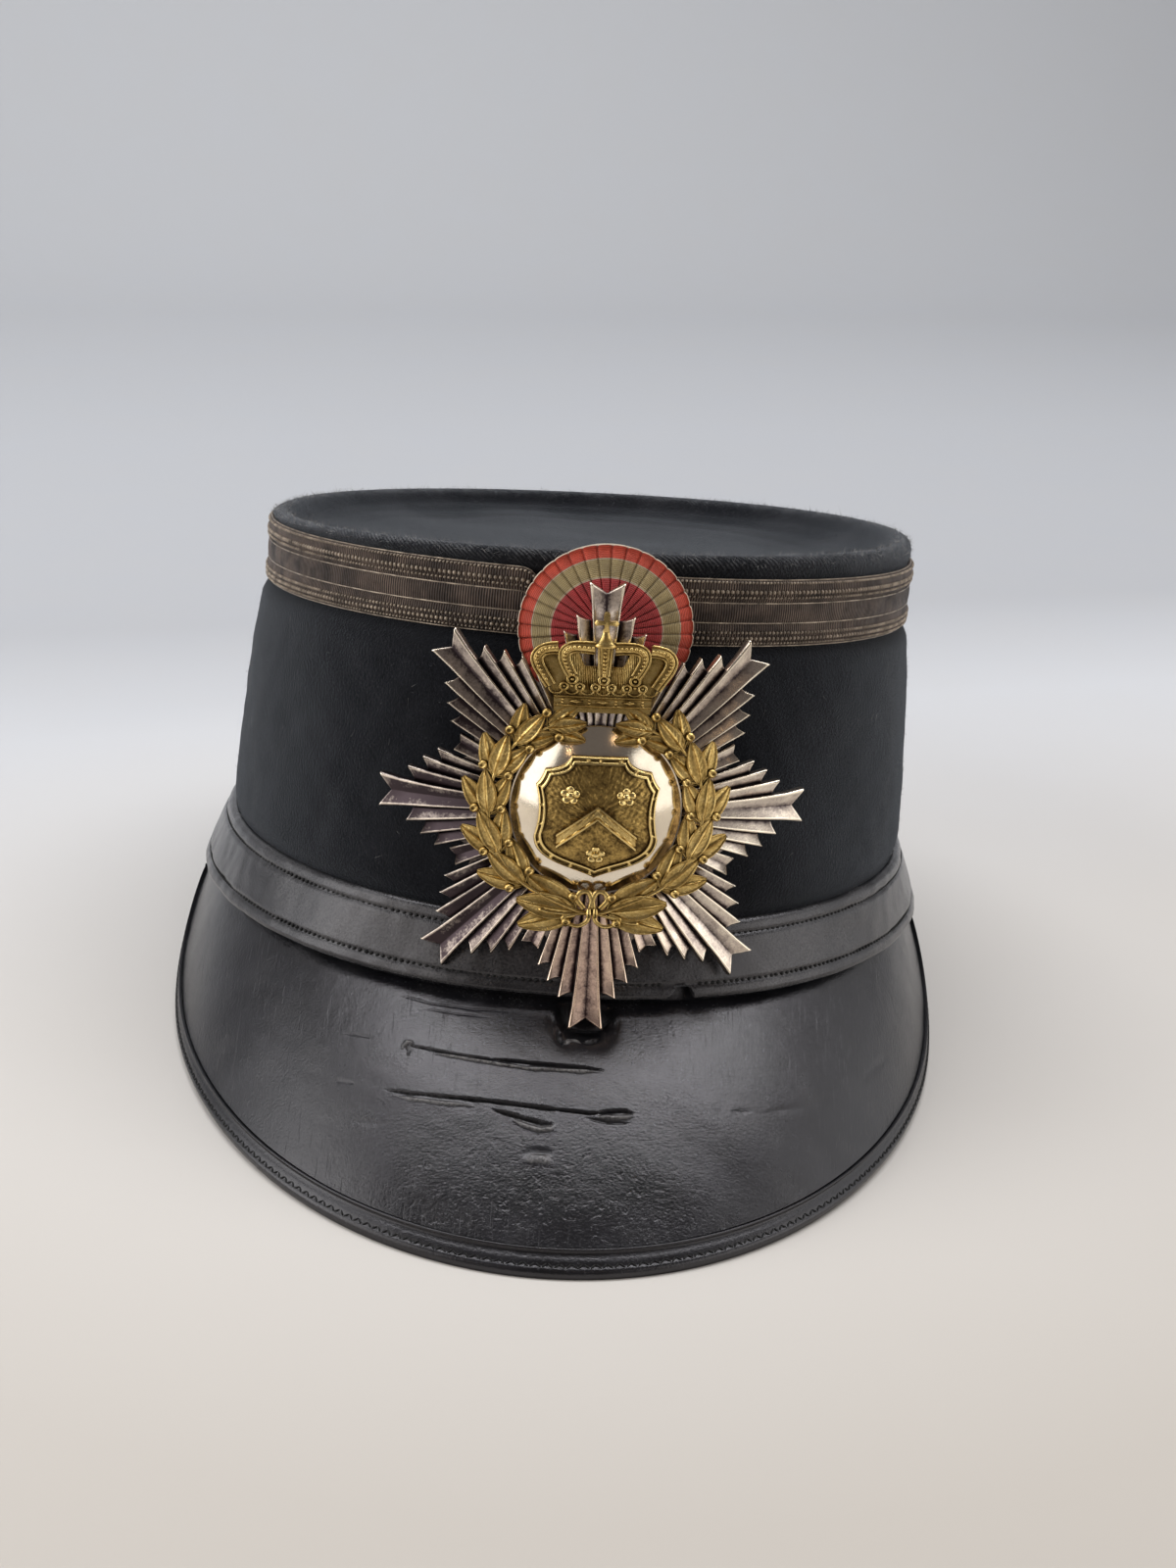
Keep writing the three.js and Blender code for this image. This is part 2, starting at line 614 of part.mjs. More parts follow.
// A leaf lying along +Y from the origin, ridged along its middle
function leaf(length) {
  const half = (length * LEAF_WIDTH) / 2;
  const section = (along, across) => [
    V(-half * across, length * along, 0),
    V(half * across, length * along, 0),
    V(0, length * along, LEAF_HEIGHT),
  ];
  const foot = [V(0, 0, LEAF_TIP)];
  const tip = [V(0, length, LEAF_TIP)];
  return skin([foot, section(0.3, 0.85), section(0.6, 0.9), tip]);
}

// Loop of the bow from the knot, to one side
function bowLoop(side, rise, reach) {
  const z = WREATH.base + WREATH.stem;
  return new THREE.CatmullRomCurve3([
    V(0, -WREATH.radius, z),
    V(side * reach, -WREATH.radius + rise * 0.45, z),
    V(side * reach * 0.75, -WREATH.radius + rise, z),
    V(side * 0.2, -WREATH.radius + rise * 0.25, z),
  ]);
}

function wreath() {
  const pieces = [];
  // Bearings of a branch run up from the foot of the wreath, and a leaf splays inwards from its tangent
  const place = (geometry, side, bearing, radius, splay, z) => {
    geometry.rotateZ(-side * rad(90 - bearing - splay));
    const x = side * radius * Math.sin(rad(bearing));
    const y = -radius * Math.cos(rad(bearing));
    pieces.push(geometry.translate(x, y, z));
  };
  for (const side of [-1, 1]) {
    for (const { bearing, radius, leaf: length, splays } of SPRIGS) {
      for (const splay of splays) {
        place(leaf(length), side, bearing, radius, splay, WREATH.base);
      }
      for (const offset of BERRY.offsets) {
        const fruit = new THREE.OctahedronGeometry(BERRY.radius, 0);
        place(fruit, side, bearing, radius + offset, 0, WREATH.base + BERRY.radius);
      }
    }
    const stemHeight = WREATH.base + WREATH.stem;
    const joints = [...SPRIGS, STEM_END].map(({ bearing, radius }) =>
      polar(180 - side * bearing, radius, stemHeight),
    );
    const stem = new THREE.CatmullRomCurve3([V(0, -WREATH.radius, stemHeight), ...joints]);
    pieces.push(rod(stem, WREATH.stem, 12, 2));
    for (const { rise, reach } of BOW_LOOPS) {
      pieces.push(rod(bowLoop(side, rise, reach), WREATH.bow, 5, 2));
    }
  }
  const knot = new THREE.IcosahedronGeometry(BOW_KNOT, 0);
  pieces.push(knot.translate(0, -WREATH.radius, WREATH.base + BOW_KNOT));
  return bent(join(pieces), BADGE_BEND);
}

// Outline of the crown above its circlet, right half then left half
function crownBody() {
  const { flare, widest, widestAt, shoulder, top, topAt } = CROWN_BODY;
  const foot = CIRCLET.tall - CIRCLET.overlap;
  const bend = (widestAt + topAt) / 2 + 0.5;
  const body = new THREE.Shape();
  body.moveTo(-CIRCLET.half, foot);
  body.lineTo(CIRCLET.half, foot);
  body.quadraticCurveTo(flare, widestAt / 2, widest, widestAt);
  body.bezierCurveTo(widest, bend, shoulder, topAt, top, topAt);
  body.lineTo(-top, topAt);
  body.bezierCurveTo(-shoulder, topAt, -widest, bend, -widest, widestAt);
  body.quadraticCurveTo(-flare, widestAt / 2, -CIRCLET.half, foot);
  return new THREE.ExtrudeGeometry(body, { depth: CROWN_PLATE, bevelEnabled: false, curveSegments: 4 });
}

function crownOrnament() {
  let pierced = toSolid(crownBody());
  for (const { x, y, width, tall } of CROWN_GAPS) {
    for (const side of [-1, 1]) {
      const gap = new THREE.BoxGeometry(width, tall, 3 * CROWN_PLATE).translate(side * x, y, 0);
      pierced = pierced.subtract(toSolid(gap));
    }
  }
  const block = (width, tall, depth, y, z) =>
    new THREE.BoxGeometry(width, tall, depth).translate(0, y, z + depth / 2);
  const bead = ({ radius, y, lift }, x) => new THREE.IcosahedronGeometry(radius, 0).translate(x, y, lift);
  const rib = (places, side) => {
    const curve = new THREE.CatmullRomCurve3(places.map(({ x, y }) => V(side * x, y, CROWN_RIB.lift)));
    return rod(curve, CROWN_RIB.radius, CROWN_RIB.steps, CROWN_RIB.sides);
  };
  const pieces = [
    toGeometry(pierced),
    block(2 * CIRCLET.half, CIRCLET.tall, CIRCLET.depth, CIRCLET.tall / 2, 0),
    rib(MIDDLE_RIB, 1),
    bead(ORB, 0),
    block(CROSS.arm, CROSS.top - CROSS.foot, CROSS.depth, (CROSS.top + CROSS.foot) / 2, CROSS.lift),
    block(CROSS.bar, CROSS.barTall, CROSS.depth, CROSS.barAt, CROSS.lift),
  ];
  for (const side of [-1, 1]) {
    pieces.push(rib(INNER_RIB, side), rib(OUTER_RIB, side));
  }
  for (let i = -TREFOIL.eachSide; i <= TREFOIL.eachSide; i += 1) {
    pieces.push(bead(TREFOIL, i * TREFOIL.pitch));
  }
  return bent(join(pieces).translate(0, CROWN_BASE, CROWN_SEAT), BADGE_BEND);
}

function cockade() {
  const count = 2 * COCKADE.pleats;
  const layer = (share, height, pleat) =>
    Array.from({ length: count }, (_, i) => {
      const fold = i % 2 === 0 ? pleat : -pleat;
      return polar((360 * i) / count, COCKADE.radius * share + fold * share * 0.4, height + fold);
    });
  const front = (share) => lerp(COCKADE.middle, COCKADE.edge, share ** 2);
  const upper = COCKADE_RINGS.map((share) => layer(share, front(share), COCKADE.pleat * share));
  const rings = [
    [V(0, 0, COCKADE.middle)],
    ...upper,
    layer(1, COCKADE_UNDER.edge, 0),
    layer(COCKADE_UNDER.flat, 0, 0),
    [V(0, 0, 0)],
  ];
  return bent(skin(rings), COCKADE.bend);
}

// Post from the star's back to the cloth
function badgePost() {
  const wall = WALL_SECTIONS.findIndex((s) => s.height > BADGE_HEIGHT);
  const [below, above] = [WALL_SECTIONS[wall - 1], WALL_SECTIONS[wall]];
  const share = (BADGE_HEIGHT - below.height) / (above.height - below.height);
  const clothFront = lerp(below.halfLength, above.halfLength, share) + FORWARD * BADGE_HEIGHT;
  const length = BADGE_BACK - clothFront - 2 * GAP;
  const post = new THREE.CylinderGeometry(POST.radius, POST.radius, length, POST.sides);
  return post.rotateX(Math.PI / 2).translate(0, 0, -GAP - length / 2);
}

// Assembly

const FINISHES = {
  cloth: { color: 0x17191d, roughness: 0.95, metalness: 0 },
  leather: { color: 0x131315, roughness: 0.4, metalness: 0 },
  lace: { color: 0x4a4036, roughness: 0.55, metalness: 0.5 },
  silver: { color: 0xcfc6b8, roughness: 0.28, metalness: 1 },
  gilt: { color: 0xa9873f, roughness: 0.35, metalness: 1 },
  ribbon: { color: 0xb4382f, roughness: 0.7, metalness: 0 },
};

function piece(name, geometry, finish) {
  const mesh = new THREE.Mesh(geometry, new THREE.MeshStandardMaterial(FINISHES[finish]));
  mesh.name = name;
  return mesh;
}

// A group on the front of the hat, with its own Z pointing outwards and its Y upwards
function onFront(distance, height, lean, roll) {
  const bearing = new THREE.Group();
  bearing.rotation.z = rad(BADGE_BEARING);
  const plane = new THREE.Group();
  plane.position.set(0, -distance, height);
  plane.rotation.x = rad(90 - lean);
  const face = new THREE.Group();
  face.rotation.z = rad(roll);
  plane.add(face);
  bearing.add(plane);
  return { bearing, face };
}

const hat = new THREE.Group();
hat.add(
  piece("crown_side", crownSide(), "cloth"),
  piece("crown_top", crownTop(), "cloth"),
  piece("lace_band", laceBand(), "lace"),
  piece("leather_band", leatherBand(), "leather"),
  piece("peak", peak(), "leather"),
  piece("peak_binding", peakBinding(), "leather"),
);

const badge = onFront(BADGE_BACK, BADGE_HEIGHT, BADGE_LEAN, BADGE_ROLL);
badge.face.add(
  piece("star_plate", starPlate(), "silver"),
  piece("boss", boss(), "silver"),
  piece("wreath", wreath(), "gilt"),
  piece("shield", shield(), "gilt"),
  piece("crown_ornament", crownOrnament(), "gilt"),
  piece("badge_post", badgePost(), "silver"),
);
const ribbon = onFront(COCKADE_BACK, COCKADE_HEIGHT, 0, 0);
ribbon.face.add(piece("cockade", cockade(), "ribbon"));
hat.add(badge.bearing, ribbon.bearing);

// Lean the hat back and set it on the surface, with the middle of its box at the origin
hat.rotation.x = rad(-REST_TILT);
const kepi = new THREE.Group();
kepi.add(hat);
kepi.updateMatrixWorld(true);
const bounds = new THREE.Box3().setFromObject(kepi, true);
const middle = bounds.getCenter(V(0, 0, 0));
hat.position.set(-middle.x, -middle.y, -bounds.min.z);

export default kepi;
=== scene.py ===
import math
from dataclasses import dataclass, field
from types import SimpleNamespace as Sizes

import bmesh
import bpy
import numpy as np
from mathutils import Matrix, Vector


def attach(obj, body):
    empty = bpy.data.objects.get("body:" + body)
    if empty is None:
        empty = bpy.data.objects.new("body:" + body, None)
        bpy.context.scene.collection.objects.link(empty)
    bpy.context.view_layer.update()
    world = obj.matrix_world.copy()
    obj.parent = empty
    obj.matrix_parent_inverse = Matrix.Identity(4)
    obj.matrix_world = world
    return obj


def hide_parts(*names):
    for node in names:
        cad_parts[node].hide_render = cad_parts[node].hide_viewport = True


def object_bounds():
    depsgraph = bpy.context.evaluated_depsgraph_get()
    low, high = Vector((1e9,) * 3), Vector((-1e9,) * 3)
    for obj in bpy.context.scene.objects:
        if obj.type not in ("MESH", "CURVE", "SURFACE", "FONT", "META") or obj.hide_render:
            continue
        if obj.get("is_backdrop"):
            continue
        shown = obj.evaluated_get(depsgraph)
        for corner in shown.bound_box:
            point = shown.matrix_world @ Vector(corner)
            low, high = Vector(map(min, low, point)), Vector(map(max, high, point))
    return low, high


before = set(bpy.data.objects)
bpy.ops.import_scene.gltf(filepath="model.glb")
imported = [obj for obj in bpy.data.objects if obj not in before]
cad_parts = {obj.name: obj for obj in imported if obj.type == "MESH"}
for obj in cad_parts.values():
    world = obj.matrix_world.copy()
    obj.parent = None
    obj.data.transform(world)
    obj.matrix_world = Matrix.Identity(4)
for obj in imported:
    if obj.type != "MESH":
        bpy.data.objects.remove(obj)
CAD_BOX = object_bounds()

# Stance of the hat
LEAN = math.radians(-10)
HAT_ORIGIN = np.array([0.003, 28.771, 17.566])
FORWARD = 0.13  # the crown's axis moves forward this much for each millimetre of height
SIDEWAYS = 0.018  # and this much towards +X
OVAL = 2.16  # power of every oval's outline
FRONT_DIP = 3.4  # how far the lower edge sinks at the front
DIP_FADE = (15, 45)  # heights between which that sinking ends

# Cloth wall: height, half width and half length of its outside
WALL = np.array([
    (0, 81.4, 100.8),
    (13, 79.0, 97.6),
    (17.5, 80.0, 98.3),
    (28, 79.4, 96.2),
    (40, 78.5, 93.3),
    (56, 77.3, 89.2),
    (65.8, 75.8, 85.9),
    (67.8, 73.7, 83.2),
    (77.4, 73.9, 83.35),
])
CLOTH = 2.6
WALL_TOP = WALL[-1]
WALL_EASE = 1.2  # the corners of its section are rounded off over this much of the height
WALL_FREE = ((15, 22), (60, 66))  # heights over which it comes free of the band and goes under the lace

# Rolled rim and sunken top: inset, height and share of the rim's slope
RIM_SLOPE = (0.024, -0.01)
RIM = np.array([
    (0, 77.7, 0),
    (0, 82.4, 0),
    (-0.7, 83.6, 0.3),
    (-0.2, 84.8, 1),
    (1.4, 85.7, 1),
    (3.6, 84.9, 1),
    (5.6, 82.2, 0.9),
    (9.0, 80.0, 0.6),
    (14, 78.5, 0.4),
    (22, 77.6, 0.2),
])
TOP_CENTRE = 76.6
TOP_CLOTH = 2.4
RIM_CREST = 9.2  # distance along the top's section to the rim's crest
CREST_WIDTH = 2.6
TOP_REACH = 74  # distance along the top's section at which it closes on its middle

# Uneven surfaces: waves with a height, a length and a seed
WALL_WAVES = [(0.22, 34, 1), (0.08, 9, 2)]
TOP_WAVES = [(0.35, 40, 3)]
BAND_WAVES = [(0.14, 22, 4), (0.05, 6, 7)]
PEAK_WAVES = [(0.05, 19, 5), (0.012, 4.5, 6)]
STIPPLE = [(0.055, 0.85, 11), (0.03, 0.45, 12)]

# Lace round the upper edge
LACE_BACK = (74.2, 83.65)
LACE_LOW = 68.2
LACE_HIGH = 82.4
LACE = 1.0

# Cords and lines along the lace: height, pitch of the twist and half thickness
LACE_CORDS = [
    (81.75, 0.9, 0.28),
    (79.75, 1.15, 0.5),
    (78.6, 1.0, 0.3),
    (71.2, 1.0, 0.36),
    (70.0, 1.15, 0.46),
    (69.0, 0.9, 0.28),
]
LACE_LINES = [82.3, 77.4, 73.2, 68.35]
LACE_END = Sizes(start=-10.6, turn=3.2, drop=4.5, hidden=4)  # its left end in degrees, and the drop there

# Leather band: height, half width and half length of its edges
BAND_TOP = (14.6, 80.8, 99.6)
BAND_BOTTOM = (0, 86.4, 106.7)
BAND_BOTTOM_BACK = (0, 83.2, 102.6)
BAND_FLARE_ENDS = (100, 135)  # bearings between which its flare ends
BAND_LEATHER = 1.4
BAND_STITCH_INSET = 2.7
BAND_STITCH = {"pitch": 1.45, "length": 1.0, "radius": 0.34, "slants": (0.2, -0.1, 0.3)}
BAND_BREAK = Sizes(bearing=15.3, half=1.5, rise=2.5)  # degrees of a piece lost from its lower edge
BAND_WEAR_AND_SHEEN = 0.1  # how far its polish is rubbed grey, a grey that also paints in part of its sheen

# Peak and its binding
PEAK_END = 98  # bearing of its end in degrees, and the bearing there at its root
PEAK_ROOT_END = 91
PEAK_EDGE = Sizes(half_width=87.7, centre=-30.7, front=-153.7)
PEAK_EDGE_RISE = Sizes(start=68, height=11.7, power=2.2)
PEAK_FLANGE = (3, 83.4, 102.6)
PEAK_ROOT = (-1.2, 84, 103.4)
PEAK_BULGE = 2.2
PEAK_LEATHER = 2.2
PEAK_WEAR = 0.04
BINDING_WIDTH = 6
BINDING_GAP = 0.25
BINDING_THICKNESS = 3.2
BINDING_ABOVE_SURFACE = 0.9
FLATTENED = 0.25  # how far the leather is pressed flat on the surface
DENT = Sizes(x=5.3, y=-108.2, depth=3.1, wide=5.2, long=4.2)  # under the star's lowest ray
PITTED = Sizes(x=0, y=-139.5, wide=34, long=8.5)

# Cuts of the peak: half width, depth (below 0 for a raised lip) and the path seen from above
PEAK_CUTS = [
    (0.16, 0.5, [(-30.8, -112.4), (-23.2, -114.9), (-17.7, -116.5), (-11.4, -117.6)]),
    (0.19, 0.8, [(-14, -117.2), (-4.4, -118.1), (1.9, -118.3), (9.3, -118.3)]),
    (0.24, -0.35, [
        (-24.8, -115.1), (-16.1, -117.4), (-10.6, -118.5), (-5.9, -119.2), (3.5, -119.2), (9, -118.8),
    ]),
    (0.22, 0.3, [(-30.8, -112.4), (-29.9, -113.7), (-30.3, -114.9)]),
    (0.26, -0.3, [(-31.4, -113.2), (-30.6, -111.8), (-29, -112.4)]),
    (0.18, 0.6, [(-33.7, -120.6), (-28.6, -122.3), (-22.4, -123.9), (-16.2, -125.1)]),
    (0.22, 0.9, [(-21, -124.2), (-16.2, -125.1), (-10.8, -125.9), (-5.4, -126.5), (2.3, -127.1)]),
    (0.17, 0.7, [(-1, -126.9), (6.9, -127.1), (9.2, -126.7)]),
    (0.26, -0.3, [(-32, -122), (-28, -123.5), (-22.4, -125.1), (-16.2, -126.3)]),
    (0.22, 0.9, [(8.1, -126.9), (10.7, -126.3), (13.4, -125.7), (15.5, -125.8)]),
    (0.3, -0.4, [(8.5, -127.6), (11.5, -127.3), (14.2, -126.8), (15.6, -126.3)]),
    (0.2, 0.3, [(6.5, -128.1), (10.5, -128.4), (14.8, -127.8)]),
    (0.23, 0.8, [(-12.3, -127.2), (-9.2, -128), (-5.3, -129), (-2.2, -129.6), (-0.5, -129.6)]),
    (0.32, -0.4, [(-8, -129.2), (-5.5, -130.2), (-3, -130.8), (-0.6, -130.5), (0.4, -129.6)]),
    (0.5, 0.25, [(-6, -134.9), (-2.6, -134.6), (0.4, -134.8)]),
    (0.5, -0.3, [(-5.4, -136), (-2.6, -135.8), (0.2, -136)]),
    (0.4, 0.8, [(-0.2, -109.6), (-0.3, -111.7), (0.6, -114)]),
    (0.3, -0.35, [(1.2, -113.6), (2.3, -112), (3.6, -111.7), (4.6, -112.6)]),
    (0.6, 0.9, [(5.2, -112.2), (6.6, -111.6), (8, -110.6)]),
    (0.2, 0.14, [(-33.2, -101), (-26.3, -104.1), (-18.2, -106.2), (-10.2, -107)]),
    (0.18, 0.12, [(-28.2, -104.9), (-21, -107), (-14.1, -108.3)]),
    (0.26, 0.14, [(-43.9, -106.1), (-37.7, -109.2)]),
    (0.3, 0.16, [(-44.8, -115.1), (-40.2, -117.4)]),
    (0.3, 0.14, [(-41.4, -123.4), (-32.8, -127)]),
    (0.16, 0.12, [(14.2, -107), (16.9, -110.6)]),
    (0.16, 0.12, [(18.6, -105.6), (21.6, -112)]),
    (0.16, 0.12, [(22.4, -104), (23.6, -109.3)]),
    (0.16, 0.12, [(18.6, -124.5), (19, -133)]),
    (0.5, 0.12, [(35.5, -119.9), (39.4, -118.3)]),
    (0.5, 0.12, [(42.5, -116.9), (50, -112), (57.9, -104.7)]),
    (0.5, 0.1, [(65.1, -95.2), (71.9, -82.8)]),
]

# Section of the binding: share of its width and of its thickness, round from the inner edge
BINDING_PROFILE = np.array([
    (0, 0.36), (0.015, 0.5), (0.05, 0.58), (0.09, 0.58), (0.125, 0.5), (0.15, 0.38),
    (0.2, 0.36), (0.35, 0.4), (0.52, 0.43), (0.6, 0.4), (0.66, 0.4), (0.72, 0.44),
    (0.82, 0.42), (0.9, 0.33), (0.96, 0.18), (1, 0), (0.97, -0.18), (0.9, -0.34),
    (0.7, -0.46), (0.5, -0.5), (0.2, -0.48), (0, -0.46),
])
BINDING_STITCH = {"pitch": 1.15, "length": 1.45, "radius": 0.2, "slants": (0.75, -0.75)}
BINDING_SEAM = (0.62, 0.41)  # shares of the width and of the thickness at which it is sewn

# Seats of badge and cockade on the front of the crown
FRONT_BEARING = 2.3
BADGE_SEAT = {"bend": 73, "back": 106.4, "height": 36.2, "lean": 1, "roll": 1.2}
COCKADE_SEAT = {"bend": 70, "back": 96.7, "height": 71.3, "lean": 0, "roll": 0}

# Star
LONG_RAYS = 8
LONG_RAY = Sizes(half_angle=3.9, reach=45.9, notch=2.4, flare=0.16)
# Step rays: first and last angle from the long ray, reach and slant of the end
STEP_RAYS = [(4.2, 8.5, 39.6, 1.4), (8.7, 12.9, 36.8, 1.3), (13.1, 17.3, 34.2, 1.2)]
VALLEY_RAY = Sizes(half_angle=3.6, reach=31.0, notch=0.6, flare=0.0)
STAR_VALLEY = 28.0  # radius of the plate beside the valley rays
STAR_SHEET = 0.5  # thickness of the plate under the rays
STAR_HOLE = 7
RAY_ROOT = 14.6  # radius under the boss at which every ray begins
RAY_BASE = 0.65  # height of a ray's trough over the star's back
RAY_FOOT = 0.1
RAY_SLOPE = 0.5  # rise of a ray's face for each millimetre away from its trough
RAY_STATIONS = np.array([0, 0.3, 0.6, 0.85, 0.982, 0.992, 1])[:, None]
RAY_END_LIP = np.array([0.0, 0.12, -0.1])[:, None]  # change of height over the last three stations
END_WEAR_AND_HIGHLIGHT = 0.3  # how much brighter a ray's end is: rubbed wear and a painted highlight
EDGE_WEAR_AND_HIGHLIGHT = 0.4  # how much brighter its edges are: rubbed wear and a painted highlight
RAY_TARNISH = 0.08  # how much the rays differ at random, and how much painted shade darkens the left side and the top
LEFT_PAINTED_SHADE = 0.1
TOP_PAINTED_SHADE = 0.15
DARKEST_PAINTED_SHADE = Sizes(bearing=248, shade=0.45)  # where the painted shade is darkest, low on the left

# Folds of a ray from its trough: share of its half width, share of its height kept, and shade
FOLDS = np.array([
    (0, 1, -0.6),
    (0.07, 1, -0.4),
    (0.4, 1, -0.15),
    (0.76, 1, -0.12),
    (0.82, 1, EDGE_WEAR_AND_HIGHLIGHT),
    (0.9, 0.94, EDGE_WEAR_AND_HIGHLIGHT),
    (0.96, 0.75, 0.1),
    (1, 0.45, -0.2),
])
BOSS = Sizes(radius=17.2, height=4.0, base=1.3, lip=0.25)
BOSS_CLEARANCE = 0.3

# Shield, and curves of the right half of its outline as shares of its half width and half height
SHIELD = Sizes(across=23.6, tall=24.8, below=0.9, plate=0.8, columns=400)
SHIELD_CURVES = [
    [(0, 1), (0.45, 1)],
    [(0.45, 1), (0.5, 0.8), (0.86, 0.76)],
    [(0.86, 0.76), (0.9, 0.6), (1, 0.5)],
    [(1, 0.5), (0.86, 0.1), (1, -0.35)],
    [(1, -0.35), (1, -0.8), (0.35, -0.8), (0, -1)],
]
# Border of the shield: share of the outline and height over the plate
SHIELD_BORDER = [
    (1, 0), (0.985, 0.55), (0.96, 0.6), (0.95, 0.25), (0.92, 0.22),
    (0.91, 0.5), (0.89, 0.55), (0.872, 0.5), (0.862, 0),
]
BORDER_CHANNEL = (0.915, 0.955)  # shares between which small bars cross the border
BORDER_SEGMENT = 4.2
FIELD_EDGE = 0.85
CHEVRON = Sizes(half=7.4, peak=1.8, foot=-4.4, bar=2.8, face=0.65, hatch=0.75)
# Within its face, a share of half the bar, the chevron is hatched
CHEVRON_ROWS = np.array([1, 1, 0.95, 0.8, 0.7, 0.6, 0.3])  # shares of half the bar, from its edge
ROSETTE_RADIUS = 1.9
ROSETTE_PLACES = [(-5.2, 3.6), (5.2, 3.6), (0, -8.4)]

# Wreath: bearing from the foot, radius, leaf length and the leaves' splays
WREATH = Sizes(radius=20.6, base=2.75)
SPRIGS = [
    (8, 20.6, 12.4, (-26, 0, 26)),
    (40, 20.4, 10.2, (-30, 0, 30)),
    (62, 20.8, 9.8, (-30, 0, 30)),
    (84, 21.0, 9.6, (-30, 0, 30)),
    (106, 21.0, 9.4, (-30, 0, 30)),
    (128, 20.6, 8.8, (-28, 2, 34)),
    (148, 19.4, 8.0, (-6, 22, 48)),
]
LEAF_LIFTS = (0.05, 0.35, 0.05)
STEM_END = (160, 18.8)
LEAF_WIDTH = 0.43  # of its length
LEAF_HEIGHT = 1.1
LEAF_VEIN_PITCH = 1.1
BERRY = [(0, 0), (0.7, 0.05), (0.98, 0.5), (0.9, 0.98), (0.62, 1.2), (0.38, 1.12), (0.3, 0.85), (0, 0.8)]
BERRY_SIZE = 0.95
BERRY_OFFSETS = (-2.7, 2.7)
BERRY_AHEAD = 4  # degrees that a berry stands ahead of its sprig

# Bow: loops on the right of the knot with their half widths, and the stems' pointed ends
BOW_LOOPS = [
    ([(0.3, 0.6), (0.1, 2.6), (0.9, 4.2), (2.3, 4.0), (2.9, 2.6), (1.6, 0.8)], 0.5),
    ([(0.4, -0.3), (0.9, -1.9), (2.6, -2.9), (4.6, -2.3), (5.4, -1.3), (3.2, -0.6)], 0.42),
]
BOW_TAILS = [
    [(0, 0), (-4, -0.5), (-8, -0.3), (-10.4, 0.2)],
    [(0, 0), (3.6, -1.0), (7, -2.0), (9.4, -2.2)],
]
KNOT = [(-0.8, 4.1, 0.4), (0, 4.5, 0.58), (0.8, 4.1, 0.4)]  # place up the knot, height and radius
KNOT_BANDS = (-0.62, 0.62)

# Crown ornament, from the foot of its circlet
CROWN_SEAT = np.array([0, 21.2, 2.9])
CROWN_SIZE = (0.95, 0.86, 1)
CIRCLET = Sizes(half=9.7, tall=2.4)
CROWN_PANEL = Sizes(top=12.4, middle=9.4, window=(3.6, 5.4), foot=9.6, head=12.6)
HATCH_PITCH = 0.36
JEWEL_PITCH = 5.28
TREFOIL_PITCH = 6.2
# Rings of a trefoil: step sideways, place up, lift, radius and thickness; its balls: place up and radius
TREFOIL_RINGS = [(0, 6.3, 1.2, 0.95, 0.3), (-1, 4.6, 1.15, 0.78, 0.27), (1, 4.6, 1.15, 0.78, 0.27)]
TREFOIL_BALLS = [(7.4, 0.5), (4.75, 0.34)]
SCALLOP = Sizes(radius=1.5, height=4.35)
ARCH_LIFT = 1.3
ARCH_HALF = (1.0, 1.4)  # half width at the foot and at the top
MIDDLE_ARCH = [(0, 7.2), (0, 9), (0, 11.4), (0, 13.9)]
INNER_ARCH = [(6.3, 7.2), (7.2, 9), (7.9, 11), (7.6, 12.8), (6.2, 13.7), (4, 13.8), (2, 13.7)]
OUTER_ARCH = [(10.4, 4.6), (11.8, 7), (13, 9.2), (13.3, 11), (12.4, 12.5), (10.8, 13.2), (9.2, 13.4)]
ORB_PLACE = np.array([[0, 13.8, 1.1]])
ORB_AXES = np.array([[(1, 0, 0), (0, 0, 0.62), (0, 1, 0)]])
ORB = [
    (0, 0), (2.0, 0.05), (2.2, 0.3), (2.15, 0.75), (1.75, 1.1),
    (1.3, 1.7), (0.95, 2.5), (0.7, 3.4), (0.6, 4.4), (0, 4.45),
]
CROSS_UPRIGHT = [(0.5, 17.4), (0.52, 19), (0.66, 21.4), (0.48, 22), (0, 22.2)]
CROSS_BAR = [(0, 19.1), (2.1, 18.85), (2.5, 19.5), (2.1, 20.15), (0, 19.9)]

# Cockade
COCKADE = Sizes(radius=17.5, pleats=36, edge=2.2, middle=4.6, hole=0.6, columns=612)
COCKADE_BACK = np.array([(17.3, 0.4), (10, 0), (0.6, 0)])  # radius and height of its flat back
EDGE_ROLL = np.array([0.45, 0.3, 0.15, 0.02])  # distances in from the edge, and its rolled height
EDGE_RISE = np.array([0.05, 0.3, 0.32, 0.1])

# Loose fibres: where they begin and end, rows there, count, length, lift and seed
FIBRE_RADIUS = 0.035
WALL_NAP = (17, 66, 40, 2600, 1.3, 0.8, 41)
RIM_NAP = (4.5, 17, 26, 2400, 1.5, 1.0, 42)
CREST_LINT = (6.5, 11, 12, 1500, 1.7, 2.0, 43)
CREST_STRAYS = (6, 12, 12, 60, 4.5, 0.8, 44)
WALL_STRAYS = (19, 64, 40, 130, 2.6, 0.25, 45)

# Camera at the photograph's place, in metres
CAMERA_AT = (-0.010546, -0.506633, 0.250802)
LOOKS_ALONG = Vector((0.02733681, 0.92878447, -0.36961075))
RIGHT = Vector((0.997307936, -0.000173089, 0.073327007))
UP = Vector((-0.06804101, 0.37062026, 0.92628885))
LENS = {"sensor_width": 36, "lens": 54, "clip_start": 0.01}

